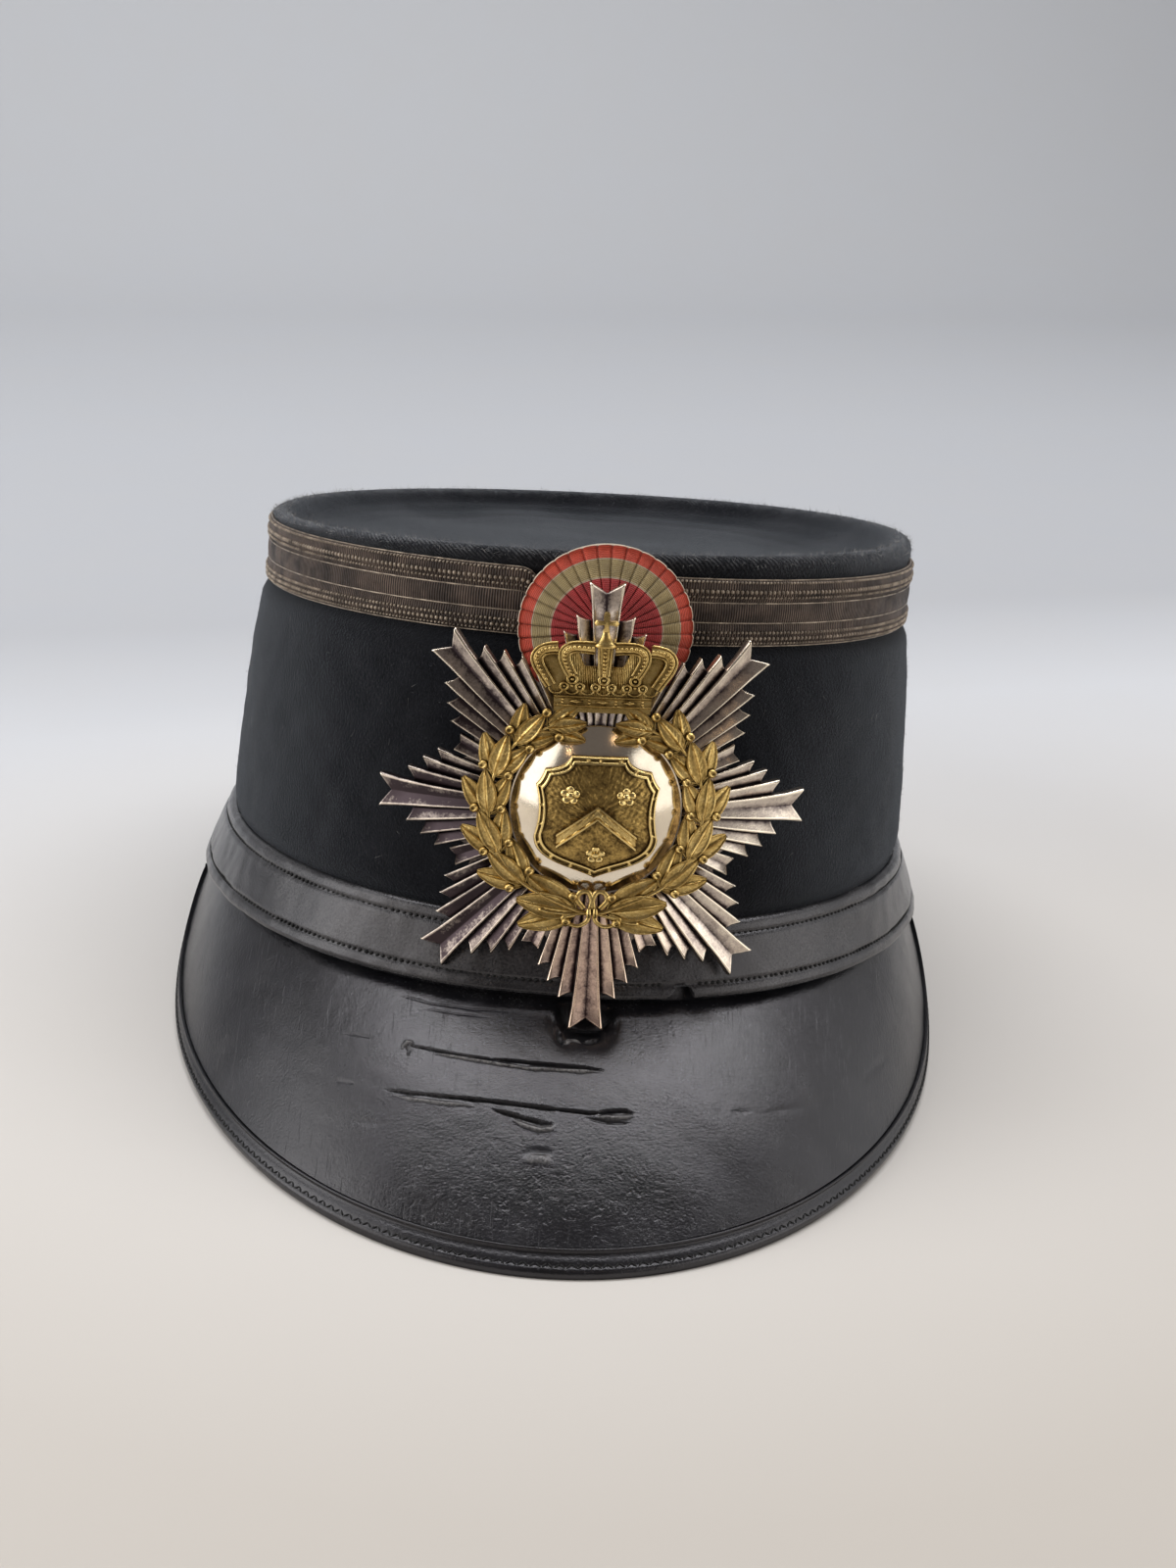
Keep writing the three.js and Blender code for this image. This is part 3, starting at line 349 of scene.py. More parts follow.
# Paper sweep in metres and degrees, and its tones from front to back in millimetres; the darker tones
# behind are painted shade
SWEEP = Sizes(front=2.0, back=0.8, bend=0.3, top=0.9, half=2.5, turn=19.7)
PAPER_REACH = (-250, 1150)
PAPER = [
    (0.0, (0.61, 0.565, 0.51)),
    (0.18, (0.68, 0.652, 0.622)),
    (0.3, (0.64, 0.65, 0.675)),
    (0.37, (0.49, 0.5, 0.525)),
    (0.55, (0.545, 0.56, 0.59)),
    (1.0, (0.61, 0.625, 0.65)),
]

# Lamps: name, place, aim, size in metres, power and colour
HAT_MIDDLE = (0, 0, 0.06)
BADGE_FRONT = (0, -0.07, 0.07)
DAYLIGHT = (0.97, 0.98, 1.0)
SKY = (0.97, 0.99, 1.0)
EVENING = (1.0, 0.66, 0.36)
LAMPS = [
    ("above", (0.05, 0.26, 1.15), (0.05, 0.26, 0), (1.5, 0.44), 12, DAYLIGHT),
    ("above_right", (1.1, 0.32, 1.15), (1.1, 0.32, 0), (0.6, 0.5), 2.0, DAYLIGHT),
    ("left", (-0.78, -0.4, 0.4), HAT_MIDDLE, (0.9, 0.8), 3.4, (1.0, 0.98, 0.95)),
    ("left_back", (-0.6, -0.04, 0.3), HAT_MIDDLE, (0.4, 0.6), 1.3, SKY),
    ("right", (0.85, -0.4, 0.33), HAT_MIDDLE, (0.9, 0.66), 2.2, (1.0, 0.98, 0.94)),
    ("right_back", (0.9, 0.15, 0.3), HAT_MIDDLE, (0.9, 0.6), 1.3, SKY),
    ("glint", (-0.31, -0.74, 0.6), BADGE_FRONT, (0.008, 0.008), 0.035, EVENING),
    ("glint", (0.27, -0.66, 0.72), BADGE_FRONT, (0.008, 0.008), 0.035, EVENING),
]
ROOM = {"Color": (1.0, 0.9, 0.87, 1), "Strength": 0.12}


# Numbers and curves

def full_turn(count):
    """This many bearings round a circle, in radians."""
    return 2 * np.pi * np.arange(count) / count


def points_of(x, y, z):
    return np.stack(np.broadcast_arrays(x, y, z), -1)


def unit(vectors):
    return vectors / np.maximum(np.linalg.norm(vectors, axis=-1, keepdims=True), 1e-9)


def between(first, last, share):
    return first + (last - first) * share


def smoothstep(value, low, high):
    share = np.clip((value - low) / (high - low), 0, 1)
    return share * share * (3 - 2 * share)


def bell(value, width):
    """A bump of height 1 that fades over a width."""
    return np.exp(-((value / width) ** 2))


def eased(at, places, values, reach):
    """Values read along straight lines between places, rounded off over a reach."""
    return np.mean([np.interp(at + shift, places, values) for shift in np.linspace(-reach, reach, 9)], 0)


def lengths(path):
    """Distance along a path at each of its points."""
    return np.concatenate([[0], np.cumsum(np.linalg.norm(np.diff(path, axis=0), axis=1))])


def read(at, places, rows):
    """Rows of values, such as points, read between the places where they are known."""
    return np.stack([np.interp(at, places, column) for column in rows.T], -1)


def curve(stops, count):
    """A smooth path of this many points through the stops."""
    stops = np.asarray(stops, float)
    reached = np.vstack([2 * stops[0] - stops[1], stops, 2 * stops[-1] - stops[-2]])
    at = np.linspace(0, len(stops) - 1 - 1e-9, count)
    first = at.astype(int)
    t = (at - first)[:, None]
    a, b, c, d = (reached[first + k] for k in range(4))
    return 0.5 * (2 * b + (c - a) * t + (2 * a - 5 * b + 4 * c - d) * t**2 + (3 * b - a - 3 * c + d) * t**3)


def flat_curve(stops, z, count, mirror=1):
    """A smooth path at one height through places of the badge's plane."""
    return curve([(mirror * x, y, z) for x, y in stops], count)


def ripple(points, length, seed, waves=20):
    """Smooth noise of about one wave in each length, mostly from -1 to 1."""
    rng = np.random.default_rng(seed)
    direction = unit(rng.normal(size=(waves, 3))) * (2 * np.pi / length) * rng.uniform(0.7, 1.4, (waves, 1))
    phase = rng.uniform(0, 2 * np.pi, waves)
    return np.sin(points @ direction.T + phase).sum(-1) / math.sqrt(waves)


def uneven(points, waves):
    return sum(height * ripple(points, length, seed) for height, length, seed in waves)


# Shapes: points, faces and a flat map, all in millimetres

@dataclass
class Shape:
    points: np.ndarray
    faces: list  # arrays of corners, one array for each number of corners
    maps: list  # flat coordinates of the same corners
    marks: dict = field(default_factory=dict)  # named values, one for each point


def sheet(grid, wrap_rows=False, wrap_columns=False, start=None, end=None, **marks):
    """Faces over rows and columns of points; start and end close the first and last row on a point."""
    rows, columns = grid.shape[:2]
    steps = np.linalg.norm(np.roll(grid, -1, 1) - grid, axis=-1).mean(0)
    rises = np.linalg.norm(np.roll(grid, -1, 0) - grid, axis=-1).mean(1)
    u = np.concatenate([[0], np.cumsum(steps)])
    v = np.concatenate([[0], np.cumsum(rises)])
    r, c = np.mgrid[:rows - (not wrap_rows), :columns - (not wrap_columns)]
    corners = [(r, c), (r, c + 1), (r + 1, c + 1), (r + 1, c)]
    quads = np.stack([(i % rows) * columns + j % columns for i, j in corners], -1).reshape(-1, 4)
    maps = np.stack([np.stack([u[j], v[i]], -1) for i, j in corners], -2).reshape(-1, 4, 2)
    marks = {name: np.broadcast_to(values, (rows, columns)).ravel() for name, values in marks.items()}
    shape = Shape(grid.reshape(-1, 3), [quads], [maps], marks)
    for row, pole in ((0, start), (rows - 1, end)):
        if pole is None:
            continue
        first = row * columns + np.arange(columns)
        tip = np.full(columns, len(shape.points))
        flat = np.stack([u, np.full(columns + 1, v[row])], -1)
        shape.points = np.vstack([shape.points, pole])
        shape.faces.append(np.stack([first, np.roll(first, -1), tip], -1))
        shape.maps.append(np.stack([flat[:-1], flat[1:], (flat[:-1] + flat[1:]) / 2], 1))
        for name, values in shape.marks.items():
            shape.marks[name] = np.append(values, values[first].mean())
    return shape


def closed_ring(*rings, **marks):
    """A ring whose section runs through rows of points and back to the first."""
    return sheet(np.concatenate(rings), wrap_rows=True, wrap_columns=True, **marks)


def body(rings, start, end, **marks):
    """A closed body of rings, its first and last ring closed on a point."""
    return sheet(rings, wrap_columns=True, start=start, end=end, **marks)


def capped(grid, **marks):
    """A closed loop of rows, with its first and last column closed on their middles."""
    stations = grid.transpose(1, 0, 2)
    turned_marks = {name: np.broadcast_to(values, grid.shape[:2]).T for name, values in marks.items()}
    return body(stations, *stations[[0, -1]].mean(1), **turned_marks)


def slab(top, low, **marks):
    """A closed plate between two grids that match point for point."""
    face = sheet(top, **marks)
    count = top.shape[0] * top.shape[1]
    index = np.arange(count).reshape(top.shape[:2])
    rim = np.concatenate([index[0], index[1:, -1], index[-1, -2::-1], index[-2:0:-1, 0]])
    wall = np.stack([rim, np.roll(rim, -1), np.roll(rim, -1) + count, rim + count], -1)
    points = np.concatenate([face.points, low.reshape(-1, 3)])
    faces = [face.faces[0], face.faces[0][:, ::-1] + count, wall]
    maps = [face.maps[0], face.maps[0][:, ::-1], points[wall][..., :2]]
    return Shape(points, faces, maps, {name: np.tile(values, 2) for name, values in face.marks.items()})


def join(shapes):
    shapes = list(shapes)
    starts = np.cumsum([0] + [len(shape.points) for shape in shapes])
    joined = Shape(np.vstack([shape.points for shape in shapes]), [], [])
    for shape, start in zip(shapes, starts):
        joined.faces += [corners + start for corners in shape.faces]
        joined.maps += shape.maps
    for name in {name for shape in shapes for name in shape.marks}:
        values = [shape.marks.get(name, np.zeros(len(shape.points))) for shape in shapes]
        joined.marks[name] = np.concatenate(values)
    return joined


def copies(shape, places, axes):
    """The shape at each place, its own X, Y and Z carried to the three vectors given for that place."""
    count = len(places)
    points = np.einsum("nk,mkj->mnj", shape.points, axes) + places[:, None]
    shift = len(shape.points) * np.arange(count)[:, None, None]
    faces = [(corners + shift).reshape(-1, corners.shape[1]) for corners in shape.faces]
    maps = [np.tile(flat, (count, 1, 1)) for flat in shape.maps]
    return Shape(points.reshape(-1, 3), faces, maps)


def placed(shape, x, y, z=0.0, turn=0.0, size=1.0):
    """The shape at a place of the badge's plane, turned anticlockwise in degrees."""
    c, s = size * math.cos(math.radians(turn)), size * math.sin(math.radians(turn))
    return copies(shape, np.array([[x, y, z]]), np.array([[(c, s, 0), (-s, c, 0), (0, 0, size)]]))


def tube(path, radii, sides=8, flatten=1.0):
    """A closed rod along a path, its section round or flattened along Z."""
    path = np.asarray(path, float)
    radii = np.broadcast_to(radii, len(path))
    along = unit(np.gradient(path, axis=0))
    side = unit(np.cross(along, (0.0, 0.0, 1.0)))
    up = np.cross(side, along)
    angle = full_turn(sides)[:, None]
    across = np.cos(angle) * side[:, None] + flatten * np.sin(angle) * up[:, None]
    grid = path[:, None] + radii[:, None, None] * across
    return body(grid, path[0], path[-1])


def polar(degrees, radius, z):
    """Points of the badge's plane by bearing, clockwise from the top."""
    turn = np.radians(degrees)
    return points_of(radius * np.sin(turn), radius * np.cos(turn), z)


def turned(profile, sides=20):
    """A body turned about Z from radii and heights, which begin and end on the axis."""
    radius, height = np.array(profile, float).T
    grid = polar(360 * np.arange(sides) / sides, radius[1:-1, None], height[1:-1, None])
    return body(grid, (0, 0, height[0]), (0, 0, height[-1]))


def bead(rings=5, sides=10):
    """A ball of radius 1."""
    angle = np.pi * (np.arange(rings)[:, None] + 1) / (rings + 1)
    turn = full_turn(sides)
    grid = points_of(np.sin(angle) * np.cos(turn), np.sin(angle) * np.sin(turn), np.cos(angle))
    return body(grid, (0, 0, 1), (0, 0, -1))


def to_row(points):
    """Points of the upright hat in millimetres, carried to the leaning hat in metres."""
    c, s = math.cos(LEAN), math.sin(LEAN)
    return (points @ np.array([(1, 0, 0), (0, c, s), (0, -s, c)]) + HAT_ORIGIN) / 1000


def piece(name, shape, material, node=None, crease=60):
    """A mesh of the shape that rides on the hat and may stand for a node; the crease is in degrees."""
    mesh = bpy.data.meshes.new(name)
    faces = [corners for group in shape.faces for corners in group.tolist()]
    mesh.from_pydata(to_row(shape.points).tolist(), [], faces)
    flat = mesh.uv_layers.new(name="map")
    flat.data.foreach_set("uv", np.concatenate([group.reshape(-1) for group in shape.maps]).astype("f"))
    for mark, values in shape.marks.items():
        layer = mesh.attributes.new(mark, "FLOAT", "POINT")
        layer.data.foreach_set("value", np.asarray(values, "f"))
    work = bmesh.new()
    work.from_mesh(mesh)
    bmesh.ops.recalc_face_normals(work, faces=work.faces)
    work.to_mesh(mesh)
    work.free()
    mesh.shade_smooth()
    mesh.set_sharp_from_angle(angle=math.radians(crease))
    mesh.materials.append(material)
    made = bpy.data.objects.new(name, mesh)
    bpy.context.collection.objects.link(made)
    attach(made, "root")
    if node:
        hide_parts(node)


# Materials

class Paint:
    """A material's nodes, added one at a time; inputs go by name or in order."""

    def __init__(self, name, **shader):
        self.material = bpy.data.materials.new(name)
        self.material.use_nodes = True
        self.tree = self.material.node_tree
        self.shader = self.tree.nodes["Principled BSDF"]
        self.set(**shader)
        metres = self.add("TexCoord", output="Object")
        self.place = self.add("VectorMath", {"Vector": metres, "Scale": 1000.0}, operation="SCALE")

    def feed(self, node, inputs):
        for key, value in inputs.items() if isinstance(inputs, dict) else enumerate(inputs):
            socket = node.inputs[key.replace("_", " ") if isinstance(key, str) else key]
            if isinstance(value, bpy.types.NodeSocket):
                self.tree.links.new(value, socket)
            elif isinstance(value, tuple):
                socket.default_value = (*value, 1)[:len(socket.default_value)]
            else:
                socket.default_value = value

    def set(self, **inputs):
        self.feed(self.shader, inputs)

    def add(self, kind, inputs=(), output=0, **settings):
        node = self.tree.nodes.new("ShaderNode" + kind)
        for key, value in settings.items():
            setattr(node, key, value)
        self.feed(node, inputs)
        return node.outputs[output]

    def mark(self, name):
        return self.add("Attribute", output="Fac", attribute_name=name)

    def noise(self, size, detail=3.0, roughness=0.55, vector=None):
        """Noise whose lumps are about this many millimetres across."""
        vector = vector or self.place
        return self.add("TexNoise", dict(Vector=vector, Scale=1 / size, Detail=detail, Roughness=roughness))

    def wave(self, direction, scale, distortion, vector=None):
        """Bands across the flat map or another vector."""
        vector = vector or self.add("UVMap", uv_map="map")
        inputs = dict(Vector=vector, Scale=scale, Distortion=distortion)
        return self.add("TexWave", inputs, bands_direction=direction)

    def grade(self, value, low, high, out_low=0.0, out_high=1.0):
        return self.add("MapRange", (value, low, high, out_low, out_high))

    def ramp(self, value, stops, interpolation="LINEAR"):
        colour = self.add("ValToRGB", [value])
        band = colour.node.color_ramp
        band.interpolation = interpolation
        while len(band.elements) < len(stops):
            band.elements.new(1)
        for element, (position, tone) in zip(band.elements, stops):
            element.position = position
            element.color = (*tone, 1)
        return colour

    def math(self, operation, first, *others):
        for other in others:
            first = self.add("Math", (first, other), operation=operation)
        return first

    def times(self, *values):
        return self.math("MULTIPLY", *values)

    def plus(self, *values):
        return self.math("ADD", *values)

    def mix(self, share, first, second, blend="MIX"):
        return self.add("Mix", {0: share, 6: first, 7: second}, 2, data_type="RGBA", blend_type=blend)

    def shaded(self, colour, value):
        """The colour times a single value."""
        return self.mix(1.0, colour, self.add("CombineXYZ", (value, value, value)), "MULTIPLY")

    def bump(self, height, depth, normal=None):
        """Surface relief of a height from 0 to 1 times this many millimetres."""
        inputs = dict(Height=height, Distance=depth / 1000, Strength=1.0)
        if normal:
            inputs["Normal"] = normal
        return self.add("Bump", inputs)


def cloth_material(name, sheen, dust):
    """Black wool: felted, dusty in patches, and rubbed down to its twill along the rim's crest."""
    paint = Paint(name, Roughness=0.95, Specular_IOR_Level=0.06)
    paint.set(Sheen_Weight=sheen, Sheen_Roughness=0.4, Sheen_Tint=(0.84, 0.91, 1.0))
    felt = paint.noise(0.55, 5, 0.7)
    dusty = paint.grade(paint.noise(14, 4), 0.45, 0.75, 0, dust)
    colour = paint.ramp(felt, [(0.3, (0.002, 0.0022, 0.0032)), (0.7, (0.012, 0.0125, 0.016))])
    colour = paint.mix(dusty, colour, (0.03, 0.03, 0.034))
    twill = paint.grade(paint.wave("DIAGONAL", 0.7, 1.0), 0.2, 0.9)
    frayed = paint.grade(paint.noise(2.2, 4, 0.7), 0.4, 0.65)
    bare = paint.times(frayed, twill, paint.mark("crest"))
    paint.set(Base_Color=paint.mix(bare, colour, (0.16, 0.162, 0.17)), Normal=paint.bump(felt, 0.35))
    return paint.material


def strand_material(name, lumps, tones, roughness, **shader):
    """Fibres, thread or cord whose tone and roughness drift along them."""
    paint = Paint(name, **shader)
    drift = paint.noise(*lumps)
    paint.set(Base_Color=paint.ramp(drift, tones), Roughness=paint.grade(drift, 0.3, 0.7, *roughness))
    return paint.material


def leather_material():
    """Polished black leather: scuffed where it is rubbed, painted near black in its cuts as their shade,
    pitted and scratched on top.
    """
    paint = Paint("leather", Specular_IOR_Level=0.6, Specular_Tint=(1.0, 0.965, 1.0))
    grain = paint.noise(0.6, 4, 0.65)
    blotch = paint.noise(9, 5, 0.6)
    wear, torn, pitted = (paint.mark(name) for name in ("wear", "torn", "pitted"))
    colour = paint.ramp(blotch, [(0.3, (0.005, 0.0051, 0.0062)), (0.72, (0.013, 0.0132, 0.016))])
    specks = paint.grade(paint.noise(0.7, 2, 0.5), 0.62, 0.74, 0, 0.35)
    colour = paint.mix(specks, colour, (0.05, 0.05, 0.055))
    scuffed = paint.times(wear, paint.grade(grain, 0.35, 0.65))
    colour = paint.mix(scuffed, colour, (0.3, 0.29, 0.285))
    # Painted shade: the open part of each cut is coloured near black.
    paint.set(Base_Color=paint.mix(torn, colour, (0.0015, 0.0013, 0.0013)))
    gloss = paint.grade(blotch, 0.3, 0.75, 0.2, 0.26)
    paint.set(Roughness=paint.plus(gloss, paint.times(wear, 0.25), paint.times(torn, 0.5)))
    lumps = paint.times(paint.noise(2.4, 3, 0.6), pitted)
    pits = paint.times(paint.grade(paint.noise(1.3, 2, 0.5), 0.3, 0.42), pitted)
    streaks = paint.add("VectorMath", (paint.place, (3.0, 0.12, 0.12)), operation="MULTIPLY")
    scratch = paint.grade(paint.noise(1.0, 2, 0.5, streaks), 0.62, 0.75)
    normal = paint.bump(grain, 0.085)
    normal = paint.bump(lumps, 0.055, normal)
    normal = paint.bump(pits, 0.06, normal)
    paint.set(Normal=paint.bump(paint.times(scratch, paint.mark("face")), -0.03, normal))
    return paint.material


def lace_material():
    """Braid of dark metal thread, hatched across and worn bright in places."""
    paint = Paint("metal_lace", Metallic=0.4, Specular_IOR_Level=0.4)
    thread = paint.wave("X", 0.55, 0.6)
    tarnish = paint.noise(4.0, 5, 0.65)
    patches = paint.noise(7.0, 4, 0.6)
    dark = paint.ramp(tarnish, [(0.3, (0.012, 0.009, 0.008)), (0.7, (0.056, 0.039, 0.031))])
    worn = paint.times(paint.grade(thread, 0.45, 0.9), paint.grade(patches, 0.4, 0.62, 0.1, 0.85))
    paint.set(Base_Color=paint.mix(worn, dark, (0.25, 0.18, 0.14)))
    paint.set(Roughness=paint.grade(tarnish, 0.3, 0.7, 0.6, 0.42), Normal=paint.bump(thread, 0.2))
    return paint.material


RIBBON_REACH = 20  # radius in millimetres at the end of the ribbon's rings
RIBBON_RINGS = [
    (0.0, (0.52, 0.045, 0.045)),
    (0.535, (0.6, 0.5, 0.34)),
    (0.55, (0.47, 0.36, 0.17)),
    (0.72, (0.6, 0.48, 0.33)),
    (0.733, (0.76, 0.1, 0.055)),
    (0.862, (0.8, 0.66, 0.5)),
]


def ribbon_material():
    """Silk woven in rings of red and gold, faded, and darkened between its folds by painted shade."""
    paint = Paint("silk_ribbon", Roughness=0.55, Specular_IOR_Level=0.35, Sheen_Weight=0.2)
    radius = paint.mark("radius")
    rings = paint.ramp(paint.grade(radius, 0, RIBBON_REACH), RIBBON_RINGS, "CONSTANT")
    threads = paint.wave("X", 0.9, 0.4, paint.add("CombineXYZ", [radius]))
    # Painted shade: the colour darkens towards the pleats' edges, where the folds meet.
    fold_shade = paint.grade(paint.mark("fold"), 0.0, 0.6, 0.45, 1.0)
    faded = paint.grade(paint.noise(3.0, 4), 0.3, 0.75, 0.75, 1.2)
    shade = paint.times(paint.grade(threads, 0, 1, 0.72, 1.08), fold_shade)
    worn = paint.shaded(paint.shaded(rings, shade), faded)
    paint.set(Base_Color=worn, Normal=paint.bump(threads, 0.1))
    return paint.material


COPPER = (1.0, 0.85, 0.8)  # pinkish tint, strongest on the lowest rays


def metal_material(name, bright, middle, dark, rough, stained):
    """Worn metal plate: bright where it is rubbed, dark in its hollows, stained by this share; its shade
    mark adds painted light and shade.
    """
    paint = Paint(name, Metallic=1.0)
    open_sky = paint.add("AmbientOcclusion", {"Distance": 0.0016}, "AO", samples=8)
    specks = paint.noise(0.45, 3, 0.6)
    light = paint.plus(
        paint.grade(open_sky, 0.35, 0.95, 0.15, 0.7),
        paint.grade(paint.noise(3.2, 6, 0.7), 0.3, 0.7, -0.3 * stained, 0.25 * stained),
        paint.grade(specks, 0.3, 0.7, -0.14 * stained, 0.14 * stained),
        paint.mark("shade"),
    )
    tone = paint.ramp(light, [(0.05, dark), (0.5, middle), (0.95, bright)])
    paint.set(Base_Color=paint.mix(paint.mark("coppery"), tone, COPPER, "MULTIPLY"))
    paint.set(Roughness=paint.grade(light, 0, 1, rough + 0.2 * stained, rough))
    paint.set(Normal=paint.bump(specks, 0.02 * stained))
    return paint.material


WOOL = cloth_material("wool", 0.33, 0.2)
# The top's wool is dustier; the extra dust also paints in the pale sheen that light gives the sunken top.
TOP_WOOL = cloth_material("top_wool", 0.36, 0.6)
HAIR = {"roughness": (0.9, 0.9), "Specular_IOR_Level": 0.15, "Sheen_Weight": 0.3}
NAP = strand_material("nap", (3.0, 2), [(0.35, (0.012, 0.012, 0.015)), (0.7, (0.1, 0.1, 0.11))], **HAIR)
LINT = strand_material("lint", (3.0, 2), [(0.35, (0.1, 0.1, 0.1)), (0.7, (0.5, 0.49, 0.47))], **HAIR)
LEATHER = leather_material()
THREAD = strand_material(
    "thread", (0.6, 3), [(0.3, (0.001, 0.001, 0.001)), (0.7, (0.006, 0.006, 0.006))],
    (0.62, 0.62), Specular_IOR_Level=0.35,
)
METAL_LACE = lace_material()
METAL_CORD = strand_material(
    "metal_cord", (3.0, 5, 0.65), [(0.3, (0.07, 0.056, 0.045)), (0.7, (0.5, 0.41, 0.32))],
    (0.55, 0.36), Metallic=0.5, Specular_IOR_Level=0.4,
)
RIBBON = ribbon_material()
SILVER = metal_material("silver", (0.92, 0.82, 0.67), (0.54, 0.46, 0.4), (0.06, 0.045, 0.05), 0.2, 0.85)
MIRROR = metal_material(
    "mirror_silver", (0.95, 0.87, 0.72), (0.82, 0.72, 0.58), (0.25, 0.19, 0.16), 0.11, 0.45
)
GILT = metal_material("gilt", (0.95, 0.72, 0.3), (0.55, 0.37, 0.12), (0.09, 0.055, 0.02), 0.22, 1.0)


# Rings of the crown

def oval(value):
    return np.sign(value) * np.abs(value) ** (2 / OVAL)


def signed_degrees(bearing):
    return np.degrees((bearing + np.pi) % (2 * np.pi) - np.pi)


def ring_point(bearing, height, half_width, half_length):
    """Points of an oval ring at bearings from the front, the lower edge sinking towards the front."""
    front = np.maximum(oval(np.cos(bearing)), 0)
    dip = FRONT_DIP * front**2 * (1 - smoothstep(height, *DIP_FADE))
    x = SIDEWAYS * height + half_width * oval(np.sin(bearing))
    y = -FORWARD * height - half_length * oval(np.cos(bearing))
    return points_of(x, y, height - dip)


def outwards(grid):
    """Unit normals of a grid of rings, on the side where the first ring faces away from the axis."""
    around = np.roll(grid, -1, 1) - np.roll(grid, 1, 1)
    normal = unit(np.cross(np.gradient(grid, axis=0), around))
    away = grid[0, :, :2] - grid[0, :, :2].mean(0)
    return normal * np.sign((normal[0, :, :2] * away).sum())


def raised(grid, height):
    return grid + outwards(grid) * height[..., None]


AROUND = full_turn(360)


def wall_face(heights):
    """Outside of the cloth wall, a little uneven between the band and the lace."""
    width, length = (eased(heights, WALL[:, 0], WALL[:, i], WALL_EASE)[:, None] for i in (1, 2))
    outside = ring_point(AROUND, heights[:, None], width, length)
    free = smoothstep(heights, *WALL_FREE[0]) * (1 - smoothstep(heights, *WALL_FREE[1]))
    return raised(outside, uneven(outside, WALL_WAVES) * free[:, None])


def crown_side():
    outside = wall_face(np.linspace(0, WALL_TOP[0], 56))
    heights = np.linspace(0, WALL_TOP[0], 12)[::-1]
    width, length = (np.interp(heights, WALL[:, 0], WALL[:, i])[:, None] - CLOTH for i in (1, 2))
    return closed_ring(outside, ring_point(AROUND, heights[:, None], width, length))


def rim_rings(inset, height, slope):
    inset = inset[:, None]
    points = ring_point(AROUND, height[:, None], WALL_TOP[1] - inset, WALL_TOP[2] - inset)
    points[..., 2] += slope[:, None] * (points[..., :2] @ np.array(RIM_SLOPE))
    return points


def top_face(at):
    """Upper face of the top at distances along its section, from the rim's foot inwards."""
    table = np.vstack([RIM, (60, TOP_CENTRE + 0.15, 0)])
    along = lengths(table[:, :2])
    inset, height, slope = (eased(at, along, column, 0.9) for column in table.T)
    upper = rim_rings(inset, height, slope)
    upper[..., 2] += uneven(upper, TOP_WAVES) * smoothstep(inset, 6, 14)[:, None]
    return upper


def crown_top():
    at = np.concatenate([np.linspace(0, 30, 56), np.linspace(32, TOP_REACH, 14)])
    under = rim_rings(*(RIM[[9, 7]] - (0, TOP_CLOTH, 0)).T)
    seat = rim_rings(*(RIM[:1] + (CLOTH, 0, 0)).T)
    grid = np.concatenate([under, seat, top_face(at)])
    crest = np.concatenate([[0, 0, 0], bell(at - RIM_CREST, CREST_WIDTH)])[:, None]
    centre = np.array([SIDEWAYS * TOP_CENTRE, -FORWARD * TOP_CENTRE, TOP_CENTRE])
    return body(grid, centre - (0, 0, TOP_CLOTH), centre, crest=crest)


# Lace

def lace_point(bearing, height, out):
    """Points of the lace; its left end has a rounded corner beside the cockade."""
    degrees = signed_degrees(bearing)
    past = np.clip((degrees - LACE_END.start) / LACE_END.turn, 0, 1)
    cut = LACE_END.drop * (1 - np.sqrt(1 - past**2)) * (degrees < LACE_END.hidden)
    lowered = LACE_LOW + (height - LACE_LOW) * (1 - cut / (LACE_HIGH - LACE_LOW))
    return ring_point(bearing, lowered, LACE_BACK[0] + out, LACE_BACK[1] + out)


def lace_relief(height):
    """How far the lace stands out at a height: three soft rolls between thinner edges."""
    edge = np.minimum(height - LACE_LOW, LACE_HIGH - height)
    rolls = np.abs(np.sin(np.pi * 3 * (height - LACE_LOW) / (LACE_HIGH - LACE_LOW))) ** 0.6
    return LACE * (0.3 + 0.35 * smoothstep(edge, 0, 0.6) + 0.35 * rolls)


def lace_band():
    columns = full_turn(540)
    heights = np.linspace(LACE_LOW, LACE_HIGH, 34)[:, None]
    inside = lace_point(columns, np.array([[LACE_HIGH], [LACE_LOW]]), 0.0)
    return closed_ring(lace_point(columns, heights, lace_relief(heights)), inside)


def lace_cords():
    """Twisted metal cords along the lace, as rows of slanting beads, and plain fine lines."""
    for height, pitch, tall in LACE_CORDS:
        bearing = full_turn(int(2 * np.pi * 79 / pitch))
        places = lace_point(bearing, height, lace_relief(height) + 0.05)
        along = unit(np.roll(places, -1, 0) - np.roll(places, 1, 0))
        out = unit(np.cross(along, (0, 0, 1.0)))
        slant = unit(along + 0.45 * np.cross(out, along))
        axes = np.stack([slant * pitch * 0.42, np.cross(out, slant) * tall, out * 0.34], 1)
        yield copies(bead(3, 6), places, axes)
    for height in LACE_LINES:
        yield tube(lace_point(np.radians(np.arange(361)), height, lace_relief(height)), 0.16, 6)


# Leather band and peak

def surface_height(y):
    """The surface that the hat stands on, in the upright hat's frame."""
    return FLATTENED / math.cos(LEAN) - (BAND_BOTTOM_BACK[2] - y) * math.tan(-LEAN)


def pressed(points):
    """Leather pressed flat where it would sink into the surface."""
    flat = np.maximum(points[..., 2], surface_height(points[..., 1]))
    return points_of(points[..., 0], points[..., 1], flat)


